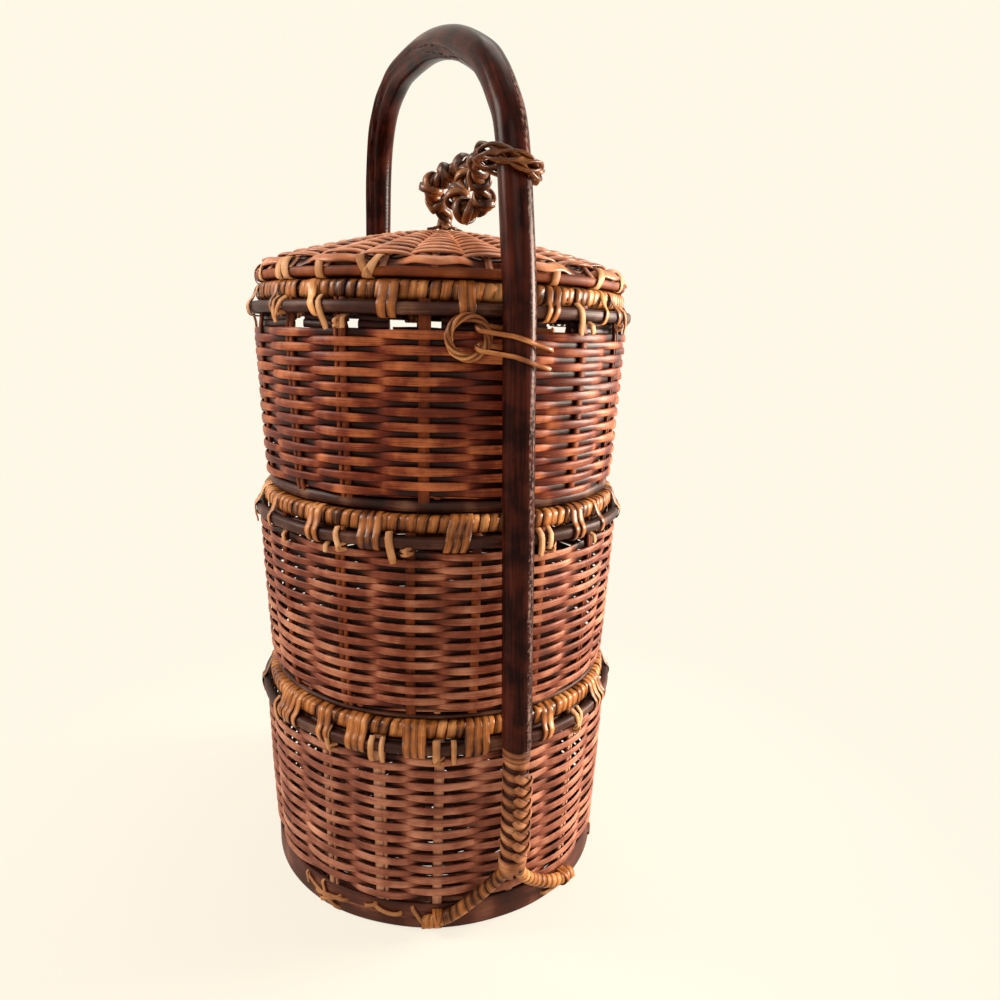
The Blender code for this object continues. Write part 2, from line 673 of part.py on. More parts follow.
def front_leg_place(height):
    """Return the middle of the front leg at a height."""
    front = [(z, x) for x, z, share in handle_route() if x > 0]
    heights, reaches = zip(*front)
    return leaned(float(np.interp(height, heights, reaches)), height)


def make_handle(bench):
    """Make the handle: one bent cane, shaved thinner below its dark end on each leg."""
    route = handle_route()
    points = [leaned(x, z) for x, z, share in route]
    thickness = [share for x, z, share in route]
    bench.tube("handle", points, 2 * LEG_RADIUS, "lacquered_cane", None, 4, thickness)


def make_lashing(bench, side, parent):
    """Make the open lashing round a leg's pale core: one cane, from the dark end to the wide wrap."""
    radius = LASHING_RADIUS
    top = CANE_END_Z - 2 * FIT_GAP
    bottom = WIDE_WRAP_HIGH + FIT_GAP
    first = top - LASHING_DIAMETER
    last = bottom + LASHING_DIAMETER
    count = LASHING_LOOPS * LASHING_POINTS
    path = [(radius, 0.0, top)]
    for k in range(count + 1):
        share = k / count
        path.append(polar(radius, 2 * math.pi * LASHING_LOOPS * share, first + (last - first) * share))
    path.append((radius, 0.0, bottom))
    name = f"{side}_leg_lashing"
    report_gap(name, path, LASHING_DIAMETER)
    bench.tube(name, path, LASHING_DIAMETER, "plaited_cane", parent)


def make_plait(bench, side, parent):
    """Make the plait beside the lashing as a plain strip."""
    inner = LASHING_RADIUS + LASHING_DIAMETER / 2 + FIT_GAP
    low = WIDE_WRAP_HIGH + FIT_GAP
    high = CANE_END_Z - PLAIT_BELOW_CANE
    form = bmesh.new()
    size = Matrix.Diagonal((PLAIT_THICKNESS, PLAIT_WIDTH, high - low, 1.0))
    bmesh.ops.create_cube(form, size=1.0, matrix=size)
    mesh = bpy.data.meshes.new(f"{side}_plait")
    form.to_mesh(mesh)
    form.free()
    plait = bench.add(mesh.name, mesh, "plaited_cane", parent)
    plait.location = polar(inner + PLAIT_THICKNESS / 2, PLAIT_TURN, (high + low) / 2)
    plait.rotation_euler = (0.0, 0.0, PLAIT_TURN)
    bevel = plait.modifiers.new("edges", "BEVEL")
    bevel.width = PLAIT_THICKNESS / 3
    bevel.segments = 1


def arm_route(name):
    """Return one arm's route from the leg's core to its end on the foot band, as seen from the axis."""
    spread = ARM_SPREADS[name]
    side = math.copysign(ARM_SPLIT / 2, spread)
    top = CORE_END_Z - FIT_GAP
    start = math.atan2(side, LEG_X)
    reach = math.hypot(LEG_X, side)
    route = [polar(reach, start, top)]
    for spread_share, drop_share, inward_share in ARM_ROUTE_SHARES:
        turn = start + (spread - start) * spread_share
        radius = reach + (ARM_BAND_RADIUS - reach) * inward_share
        route.append(polar(radius, turn, top + (ARM_END_Z - top) * drop_share))
    return route


def make_arms(bench, side, parent):
    """Make the two wrapped arms at the foot of a leg, and the tie at the end of each."""
    for name in ARM_SPREADS:
        route = catmull(arm_route(name), 2)
        bench.tube(f"{side}_{name}_arm", route, ARM_DIAMETER, "golden_cane", parent, 2)
        x, y, height = route[-2]
        face = WALL_FOOT_RADIUS + FIT_GAP
        reach = ARM_DIAMETER / 2 + LOOP_GAP + ARM_TIE_DIAMETER / 2
        bow = [(ARM_BAND_RADIUS + reach * math.cos(a), height + reach * math.sin(a)) for a in half_turn(7)]
        path = [(face, height + reach), *bow, (face, height - reach)]
        points = [polar(radius, math.atan2(y, x), level) for radius, level in path]
        bench.tube(f"{side}_{name}_arm_tie", points, ARM_TIE_DIAMETER, "golden_cane", parent)


def half_turn(count):
    """Return angles from a quarter turn up to a quarter turn down."""
    return [math.pi / 2 - math.pi * k / (count - 1) for k in range(count)]


def make_leg_foot(bench, side, turn):
    """Make everything that lashes one leg of the handle to the bottom tier."""
    axis = bench.carrier(f"{side}_leg_axis", polar(LEG_X, turn, 0.0), turn)
    basket_axis = bench.carrier(f"{side}_basket_axis", (0.0, 0.0, 0.0), turn)
    make_lashing(bench, side, axis)
    make_plait(bench, side, axis)
    outer = WIDE_WRAP_INNER + WIDE_WRAP_THICKNESS
    name = f"{side}_wide_wrap"
    low = WIDE_WRAP_LOW
    bench.band(name, outer, WIDE_WRAP_INNER, low, WIDE_WRAP_HIGH, "golden_cane", axis, SMALL_RING_STEPS)
    make_arms(bench, side, basket_axis)


def make_latch(bench, hoop_z):
    """Make the small latch ring below a hoop, on its hinge, and the cane turns that hold it to the leg."""
    ring_z = hoop_z - LATCH_RING_DROP
    strand = LATCH_RING_DIAMETER / 2
    reach = HOOP_RADIUS + LOOP_GAP + strand
    centre = Vector(polar(reach, LATCH_RING_TURN, ring_z))
    outward = Vector(polar(1.0, LATCH_RING_TURN, 0.0))
    across = Vector((-outward.y, outward.x, 0.0))
    hinge_place = centre + across * LATCH_RING_RADIUS
    hinge = bench.carrier("latch_hinge", hinge_place, LATCH_RING_TURN)
    mesh = ring_mesh("latch_ring", LATCH_RING_RADIUS, LATCH_RING_DIAMETER, LATCH_RING_DIAMETER, 20)
    ring = bench.add("latch_ring", mesh, "knotted_rattan", hinge)
    ring.location = (0.0, -LATCH_RING_RADIUS, 0.0)
    ring.rotation_euler = (0.0, math.pi / 2, 0.0)

    leg = Vector(front_leg_place(ring_z)).to_2d()
    leg_reach = LEG_RADIUS + LOOP_GAP + LATCH_TIE_DIAMETER / 2
    loop_reach = strand + LATCH_TIE_SLACK + LATCH_TIE_DIAMETER / 2
    off_wall = WALL_TOP_RADIUS + LOOP_GAP + LATCH_TIE_DIAMETER / 2 + loop_reach
    inset = LATCH_TIE_PITCH / 2 + LATCH_TIE_SLOPE * LATCH_RING_RADIUS
    sag = LATCH_RING_RADIUS - math.sqrt(LATCH_RING_RADIUS**2 - inset**2)
    loop = outward.to_2d() * off_wall + across.to_2d() * (LATCH_RING_RADIUS - sag)
    loop_turn = math.atan2(loop.y - leg.y, loop.x - leg.x)
    path = []
    count = LATCH_TIE_TURNS * LATCH_TIE_POINTS
    for k in range(count + 1):
        turn = loop_turn + math.pi + 2 * math.pi * LATCH_TIE_TURNS * k / count
        normal = Vector((math.cos(turn), math.sin(turn)))
        on_leg = leg + normal * leg_reach
        on_loop = loop + normal * loop_reach
        spot = on_leg if on_leg.dot(normal) > on_loop.dot(normal) else on_loop
        drop = LATCH_TIE_DROP + LATCH_TIE_PITCH * k / LATCH_TIE_POINTS
        height = hoop_z - drop - LATCH_TIE_SLOPE * (spot.y - leg.y)
        path.append((spot.x, spot.y, height))
    report_gap("latch_tie", path, LATCH_TIE_DIAMETER)
    bench.tube("latch_tie", path, LATCH_TIE_DIAMETER, "golden_cane")


def main():
    """Build the whole basket."""
    clear_scene()
    bench = Bench()
    bottom, middle, top = stacked_tiers()
    make_bottom_tier(bench, bottom)
    make_upper_tier(bench, middle)
    make_upper_tier(bench, top)
    make_lid(bench)
    make_handle(bench)
    make_leg_foot(bench, "front", 0.0)
    make_leg_foot(bench, "back", math.pi)
    make_latch(bench, top.seat_z + top.height)
    bench.shade_round()


if __name__ == "__main__":
    main()
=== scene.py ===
"""Looks of a tiered rattan food basket: woven tiers and lid, bound rims and a lashed cane handle.

Lengths are in metres, angles in radians where degrees aren't named, and +Z is up along the tiers' axis. Every cane
is swept along its own line, so its grain runs along it, and each piece rides on the body that carries it.
"""

import logging
import math
from dataclasses import dataclass
from enum import Enum
from typing import Callable

import bmesh
import bpy
import numpy as np
from mathutils import Matrix, Vector


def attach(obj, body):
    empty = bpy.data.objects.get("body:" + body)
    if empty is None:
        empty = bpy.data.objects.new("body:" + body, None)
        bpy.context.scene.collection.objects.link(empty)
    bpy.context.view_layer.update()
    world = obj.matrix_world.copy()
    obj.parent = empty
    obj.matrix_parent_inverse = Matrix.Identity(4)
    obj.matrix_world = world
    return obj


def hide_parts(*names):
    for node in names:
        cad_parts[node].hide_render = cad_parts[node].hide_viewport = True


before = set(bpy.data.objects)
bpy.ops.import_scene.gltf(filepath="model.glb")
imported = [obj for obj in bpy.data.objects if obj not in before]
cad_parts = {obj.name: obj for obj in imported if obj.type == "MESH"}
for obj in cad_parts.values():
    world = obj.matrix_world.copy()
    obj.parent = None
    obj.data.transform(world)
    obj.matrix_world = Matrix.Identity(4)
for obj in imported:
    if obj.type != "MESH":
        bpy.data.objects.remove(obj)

LOG = logging.getLogger("basket")
FULL_TURN = 2 * math.pi
WELD = 0.000002
CREASE = math.radians(75.0)
CREAM = "fff8e8"

# Sizes of the frame that the pieces follow
HOOP_RADIUS = 0.1250
HOOP_DEPTH = 0.0046
STAKE_RADIUS = 0.1188
RIM_RADIUS = 0.1150
RIM_RISE = 0.0098
WALL_TOP_RADIUS = 0.1230
WALL_FOOT_RADIUS = 0.1178
FOOT_RADIUS, FOOT_DEPTH = 0.1121, 0.0068
COLLAR_RADIUS, COLLAR_DEPTH = 0.1070, 0.0024
TOP_HOOP_Z = 0.379474
LID_SEAT = 0.395411
LEG_X = 0.1346
LEG_RADIUS = 0.0089
CORE_RADIUS = 0.0066
CANE_END_Z = 0.1330
CORE_END_Z = 0.0580
HANDLE_LEAN = math.radians(1.72)
SPRING_Z = 0.385311
ARCH_RISE = 0.1558

# Section of a split hoop: half round outside and nearly flat behind
HALF_ROUND = {"sides": 16, "back": 0.06, "fullness": 0.6}


class Body(Enum):
    """Bodies of the frame."""

    BASE = "base"
    MIDDLE = "middle_tier"
    TOP = "top_tier"
    LID = "lid"
    LATCH = "latch"


class Slot(Enum):
    """Material slots of the record."""

    WEAVE = "weave"
    GOLDEN_CANE = "golden_cane"
    DARK_HOOP = "dark_hoop"
    FOOT_BAMBOO = "foot_bamboo"
    LACQUERED_CANE = "lacquered_cane"
    LID_WEAVE = "lid_weave"
    PLAITED_CANE = "plaited_cane"
    KNOTTED_RATTAN = "knotted_rattan"


def linear_colour(hex_code: str) -> tuple[float, float, float, float]:
    """Turn an sRGB hex colour to linear red, green, blue and an alpha of one."""
    shares = [int(hex_code[k : k + 2], 16) / 255 for k in (0, 2, 4)]
    red, green, blue = [s / 12.92 if s <= 0.04045 else ((s + 0.055) / 1.055) ** 2.4 for s in shares]
    return (red, green, blue, 1.0)


def add_node(tree: bpy.types.NodeTree, kind: str, inputs: dict | None = None, **settings) -> bpy.types.Node:
    """Add a node with its settings, values and links.

    Args:
        tree: Node tree that gets the node.
        kind: Type name of the node.
        inputs: Value or output socket for each named or numbered input.
        **settings: Attributes of the node.

    Returns:
        The new node.
    """
    node = tree.nodes.new(kind)
    for name, value in settings.items():
        setattr(node, name, value)
    for socket, value in (inputs or {}).items():
        if isinstance(value, bpy.types.NodeSocket):
            tree.links.new(value, node.inputs[socket])
        else:
            node.inputs[socket].default_value = value
    return node


class Recipe:
    """A material under way: its node tree and short ways to the nodes that it repeats."""

    def __init__(self, name: str) -> None:
        """Start an empty material."""
        self.material = bpy.data.materials.new(name)
        self.material.use_nodes = True
        self.tree = self.material.node_tree
        self.tree.nodes.clear()
        self.place = add_node(self.tree, "ShaderNodeTexCoord").outputs["Object"]

    def sum(self, operation: str, *values, **settings) -> bpy.types.NodeSocket:
        """Return one sum of values or sockets, taken in order."""
        inputs = dict(enumerate(values))
        return add_node(self.tree, "ShaderNodeMath", inputs, operation=operation, **settings).outputs[0]

    def value(self, name: str) -> bpy.types.NodeSocket:
        """Return a number stored on the mesh's points."""
        return add_node(self.tree, "ShaderNodeAttribute", attribute_name=name).outputs["Fac"]

    def stretched(self, scale: tuple[float, float, float]) -> bpy.types.NodeSocket:
        """Return the UV place, in metres along and round the cane, times a scale."""
        uv = add_node(self.tree, "ShaderNodeUVMap", uv_map="UVMap").outputs["UV"]
        return add_node(self.tree, "ShaderNodeMapping", {"Vector": uv, "Scale": scale}).outputs["Vector"]

    def noise(self, place, scale: float, detail: float, roughness: float = 0.5) -> bpy.types.NodeSocket:
        """Return noise at a place."""
        inputs = {"Vector": place, "Scale": scale, "Detail": detail, "Roughness": roughness}
        return add_node(self.tree, "ShaderNodeTexNoise", inputs).outputs["Fac"]

    def ranged(self, value, start: tuple[float, float], end=(0.0, 1.0), **settings) -> bpy.types.NodeSocket:
        """Return a value moved from one range to another."""
        inputs = {"Value": value, "From Min": start[0], "From Max": start[1], "To Min": end[0], "To Max": end[1]}
        return add_node(self.tree, "ShaderNodeMapRange", inputs, **settings).outputs["Result"]

    def blend(self, share, first, last) -> bpy.types.NodeSocket:
        """Return a blend of two colours."""
        inputs = {"Factor": share, 6: first, 7: last}
        return add_node(self.tree, "ShaderNodeMix", inputs, data_type="RGBA").outputs[2]

    def surface(self, colour, roughness, ior: float, specular: float, bump: bpy.types.Node) -> bpy.types.Material:
        """Finish the material as a plain glossy surface.

        Args:
            colour: Its colour.
            roughness: Its roughness.
            ior: Its index of refraction.
            specular: Level of its shine.
            bump: Node of its fine relief.

        Returns:
            The finished material.
        """
        inputs = {"Base Color": colour, "Roughness": roughness, "Normal": bump.outputs["Normal"]}
        inputs |= {"IOR": ior, "Specular IOR Level": specular}
        shader = add_node(self.tree, "ShaderNodeBsdfPrincipled", inputs)
        add_node(self.tree, "ShaderNodeOutputMaterial", {"Surface": shader.outputs["BSDF"]})
        return self.material


@dataclass(frozen=True)
class CaneFinish:
    """Skin of split or whole rattan: fibres along the cane, blotches of age, and painted shade along the sides of each
    strand, turned to a painted highlight where its setting is above zero.
    """

    name: str
    deep: str
    plain: str
    bright: str
    roughness: float
    fibre_length: float = 0.022
    fibre_width: float = 0.00045
    blotch: float = 0.016
    bump: float = 0.00012
    # Painted shade: below zero darkens the sides of each strand, and the default darkens them a little; above zero
    # lightens them as a painted highlight
    painted_edge_shade: float = -0.25
    contrast: float = 1.0
    specular: float = 0.17

    def material(self) -> bpy.types.Material:
        """Build the material of this finish."""
        recipe = Recipe(self.name)
        fibre = recipe.noise(recipe.stretched((1 / self.fibre_length, 1 / self.fibre_width, 1.0)), 1.0, 3.0, 0.6)
        blotch = recipe.noise(recipe.place, 1 / self.blotch, 3.0)
        mixed = recipe.sum("MULTIPLY_ADD", fibre, 0.55 * self.contrast, -0.275 * self.contrast)
        mixed = recipe.sum("MULTIPLY_ADD", blotch, 0.9 * self.contrast, mixed)
        # The tone value holds each strand's own tone and, on the weavers of walls, floors and lid, painted shade where
        # they pass behind a stake or under a rib
        mixed = recipe.sum("ADD", recipe.value("tone"), mixed)
        # The edge mask carries painted shade along the sides of each strand
        mixed = recipe.sum("MULTIPLY_ADD", recipe.value("edge"), self.painted_edge_shade, mixed)
        shade = recipe.sum("SUBTRACT", mixed, 0.45 * self.contrast, use_clamp=True)
        ramp = add_node(recipe.tree, "ShaderNodeValToRGB", {"Fac": shade})
        stops = ramp.color_ramp.elements
        stops[0].position, stops[0].color = 0.12, linear_colour(self.deep)
        stops[1].position, stops[1].color = 0.92, linear_colour(self.bright)
        stops.new(0.5).color = linear_colour(self.plain)
        rough = recipe.ranged(fibre, (0.3, 0.7), (self.roughness - 0.08, self.roughness + 0.1))
        bump = add_node(recipe.tree, "ShaderNodeBump", {"Height": fibre, "Strength": 0.7, "Distance": self.bump})
        return recipe.surface(ramp.outputs["Color"], rough, 1.48, self.specular, bump)


@dataclass(frozen=True)
class LacquerFinish:
    """Dark lacquer over a thick bent cane: glossy, going brown and grey in specks where hands and straps rub, with a
    grey painted highlight down the front leg's lit side and on the bend's shoulder.
    """

    name: str
    deep: str
    brown: str
    worn_and_sheen: str
    core: str

    def material(self) -> bpy.types.Material:
        """Build the material of this finish."""
        recipe = Recipe(self.name)
        streak = recipe.noise(recipe.stretched((28.0, 520.0, 1.0)), 1.0, 4.0, 0.65)
        blotch = recipe.noise(recipe.place, 55.0, 5.0)
        speck = recipe.noise(recipe.place, 420.0, 3.0)
        bare = recipe.value("bare")
        brown = recipe.ranged(recipe.sum("MULTIPLY_ADD", blotch, 1.4, streak), (1.05, 1.6))
        base = recipe.blend(brown, linear_colour(self.deep), linear_colour(self.brown))
        rubbed_and_sheen = recipe.sum("MULTIPLY_ADD", speck, 0.9, -0.42)
        # Painted highlight: the value read here adds the grey colour as a sheen down the front leg's lit side and on
        # the bend's shoulder
        rubbed_and_sheen = recipe.sum("ADD", rubbed_and_sheen, recipe.value("painted_sheen"))
        rubbed_and_sheen = recipe.ranged(recipe.sum("MULTIPLY_ADD", streak, 0.7, rubbed_and_sheen), (0.75, 1.15))
        base = recipe.blend(rubbed_and_sheen, base, linear_colour(self.worn_and_sheen))
        base = recipe.blend(bare, base, linear_colour(self.core))
        line = recipe.noise(recipe.stretched((620.0, 60.0, 1.0)), 1.0, 2.0)
        line = recipe.sum("MULTIPLY", line, recipe.value("crease"))
        height = recipe.sum("MULTIPLY_ADD", streak, 0.35, line)
        bump = add_node(recipe.tree, "ShaderNodeBump", {"Height": height, "Strength": 0.6, "Distance": 0.00035})
        rough = recipe.sum("MULTIPLY_ADD", rubbed_and_sheen, 0.22, 0.24)
        rough = recipe.sum("MULTIPLY_ADD", bare, 0.3, rough)
        return recipe.surface(base, rough, 1.5, 0.06, bump)


class Finish(Enum):
    """Finishes of this basket, each from what the real one is."""

    # Varnished rattan core of the bottom wall: satin, pinkish brown, fibres along the strand
    WEAVE_BOTTOM = CaneFinish("varnished_rattan_pink_brown", "280b05", "844b38", "ce9478", 0.48, painted_edge_shade=0.0)
    # The middle wall's strands, darker and redder, with a faint painted highlight along their sides
    WEAVE_MIDDLE = CaneFinish("varnished_rattan_dark_brown", "240a04", "7b3d28", "ce9070", 0.46, painted_edge_shade=0.04)
    # The top wall's strands, the darkest and reddest, and glossier
    WEAVE_TOP = CaneFinish("varnished_rattan_red_brown", "260803", "672610", "cc7a4a", 0.42, painted_edge_shade=0.0)
    # Split stakes of the bottom tier, paler and drier than the strands over them
    STAKE_PALE = CaneFinish("split_rattan_stake_pale", "6a3c28", "b08268", "d8a88c", 0.6)
    # Split stakes of the upper tiers, hardly lighter than the strands
    STAKE_BROWN = CaneFinish("split_rattan_stake_brown", "341004", "743616", "a8673a", 0.55)
    # Cane skin of the rim bindings: golden brown, with painted shade along the edges of each turn
    BINDING = CaneFinish(
        "golden_cane_skin", "341002", "a0602c", "e4a86c", 0.36,
        bump=0.00008, painted_edge_shade=-0.6, contrast=1.3, specular=0.25,
    )
    # Cut and worn ends of the same cane, paler where its skin is off, with painted shade along their sides
    CUT_CANE = CaneFinish("cut_cane_end", "6a381c", "b07c50", "e4bc90", 0.5, painted_edge_shade=-0.3)
    # Stained split hoops: streaky dark brown wood, with painted shade: the colours are set as dark as the hoops look
    # in their shade
    HOOP = CaneFinish(
        "stained_split_hoop", "180603", "3d1c12", "7c5844", 0.46, fibre_width=0.0008, bump=0.0002, contrast=1.2
    )
    # Wide band round the foot, bamboo strip with long straight grain
    BAND = CaneFinish(
        "aged_bamboo_strip", "260e08", "4d261a", "946250", 0.55, 0.05, 0.0009, blotch=0.03, bump=0.0002, contrast=1.1
    )
    # Lid strands, brighter and more golden than the walls, with a glossy varnish and painted shade along their sides
    LID = CaneFinish("varnished_lid_strand", "421606", "bf744a", "f6c09a", 0.34, painted_edge_shade=-0.2, specular=0.35)
    # Bare plaited and wrapped cane at the feet of the legs, with painted shade along the sides of each strand
    PLAIT = CaneFinish("bare_plaited_cane", "3c1a0c", "9c6440", "d8aa80", 0.5, painted_edge_shade=-0.5, contrast=1.2)
    # Cane wrapped tight round the arms, with painted shade where the turns meet
    ARM = CaneFinish("wrapped_arm_cane", "3a1808", "a26836", "d8a068", 0.46, painted_edge_shade=-0.6)
    # Aged and oiled rattan of the tether and the leg ring: warm brown with glints
    KNOT = CaneFinish(
        "aged_knotted_rattan", "260c02", "6e3c16", "b07c46", 0.32, fibre_width=0.0006, contrast=1.3, specular=0.35
    )
    # Younger golden rattan of the latch ring
    LATCH = CaneFinish("golden_twisted_rattan", "321206", "96582a", "e0ac70", 0.34, fibre_width=0.0006, specular=0.3)
    # Lacquered cane: near black with brown worn through, grey rub marks and a grey painted highlight, grey-brown bare
    # core under the lashing
    LACQUER = LacquerFinish("lacquered_bent_cane", "1a0604", "4c2016", "8e7268", "442820")


@dataclass
class Strand:
    """One cane: the line it follows, the side its face turns to, and its section along that line.

    The width lies across the line and the face, the thickness along the face's direction. A low fullness gives
    a flatter strap, and back is how far the back bulges as a share of how far the face does.
    """

    path: np.ndarray
    normals: np.ndarray
    width: float | np.ndarray
    thickness: float | np.ndarray
    sides: int = 8
    fullness: float = 0.8
    back: float = 1.0
    tone: float | np.ndarray = 0.5
    start: float = 0.0
    extra: dict[str, Callable[[np.ndarray, np.ndarray], np.ndarray]] | None = None
    relief: Callable[[np.ndarray, np.ndarray], np.ndarray] | None = None


def unit(vectors: np.ndarray) -> np.ndarray:
    """Scale each row to a length of one."""
    return vectors / np.maximum(np.linalg.norm(vectors, axis=1, keepdims=True), 1e-12)


def square_to(vectors: np.ndarray, heading: np.ndarray) -> np.ndarray:
    """Turn each row square to a heading."""
    return unit(vectors - heading * np.sum(vectors * heading, axis=1, keepdims=True))


def swelled(values: np.ndarray, power: float) -> np.ndarray:
    """Raise the size of each value to a power and keep its sign."""
    return np.sign(values) * np.abs(values) ** power


def runs_of(path: np.ndarray) -> np.ndarray:
    """Return the distance between each two points of a line."""
    return np.linalg.norm(np.diff(path, axis=0), axis=1)


def is_closed(path: np.ndarray) -> bool:
    """Tell whether a line ends where it starts."""
    return bool(np.allclose(path[0], path[-1], atol=1e-7))


def tangents(path: np.ndarray) -> np.ndarray:
    """Return the direction of a line at each of its points, round the seam where it closes."""
    if is_closed(path):
        return unit(np.vstack([path[1:], path[1:2]]) - np.vstack([path[-2:-1], path[:-1]]))
    return unit(np.gradient(path, axis=0))


def ripple(count: int, seed: int, waves: int, size: float) -> np.ndarray:
    """Return a smooth seeded wander around zero that closes on itself.

    Args:
        count: Number of values.
        seed: Seed of the wander.
        waves: Rough number of bends along it.
        size: Rough size of the bends.

    Returns:
        The values.
    """
    draw = np.random.default_rng(seed)
    along = np.linspace(0, FULL_TURN, count)
    total = np.zeros(count)
    for k in range(5):
        turns = max(1, round(waves * draw.uniform(0.4, 1.6)))
        total += np.sin(turns * along + draw.uniform(0, FULL_TURN)) * draw.uniform(0.4, 1.0)
    return total * size / 2


def catmull(points: np.ndarray, steps: int) -> np.ndarray:
    """Return a smooth line through points, with steps pieces between each two."""
    knots = np.asarray(points, dtype=float)
    knots = np.vstack([2 * knots[0] - knots[1], knots, 2 * knots[-1] - knots[-2]])
    share = np.linspace(0, 1, steps, endpoint=False)[:, None]
    rows = []
    for a, b, c, d in zip(knots, knots[1:], knots[2:], knots[3:]):
        spread = 2 * a - 5 * b + 4 * c - d
        rows.append((2 * b + (c - a) * share + spread * share**2 + (3 * b - a - 3 * c + d) * share**3) / 2)
    return np.vstack([*rows, knots[-2:-1]])


def ring(radius: float | np.ndarray, turn: np.ndarray, height: float | np.ndarray) -> np.ndarray:
    """Return points at radii, turns about the axis and heights."""
    radius, turn, height = np.broadcast_arrays(radius, turn, height)
    return np.stack([radius * np.cos(turn), radius * np.sin(turn), height], axis=1)


def upright(x: float, height: np.ndarray) -> np.ndarray:
    """Return points at heights over one spot on the X axis."""
    return np.stack([np.full(len(height), x), np.zeros(len(height)), height], axis=1)


def steady_normals(path: np.ndarray, first: tuple[float, float, float]) -> np.ndarray:
    """Carry a side direction along a line with as little turning as it can."""
    side = np.array(first, dtype=float)
    rows = []
    for way in tangents(path):
        side = side - way * (side @ way)
        side = side / np.linalg.norm(side)
        rows.append(side)
    return np.array(rows)


def everywhere(along: np.ndarray, angle: np.ndarray) -> np.ndarray:
    """Return one at each point of a strand."""
    return np.ones_like(along)


def nowhere(along: np.ndarray, angle: np.ndarray) -> np.ndarray:
    """Return zero at each point of a strand."""
    return np.zeros_like(along)


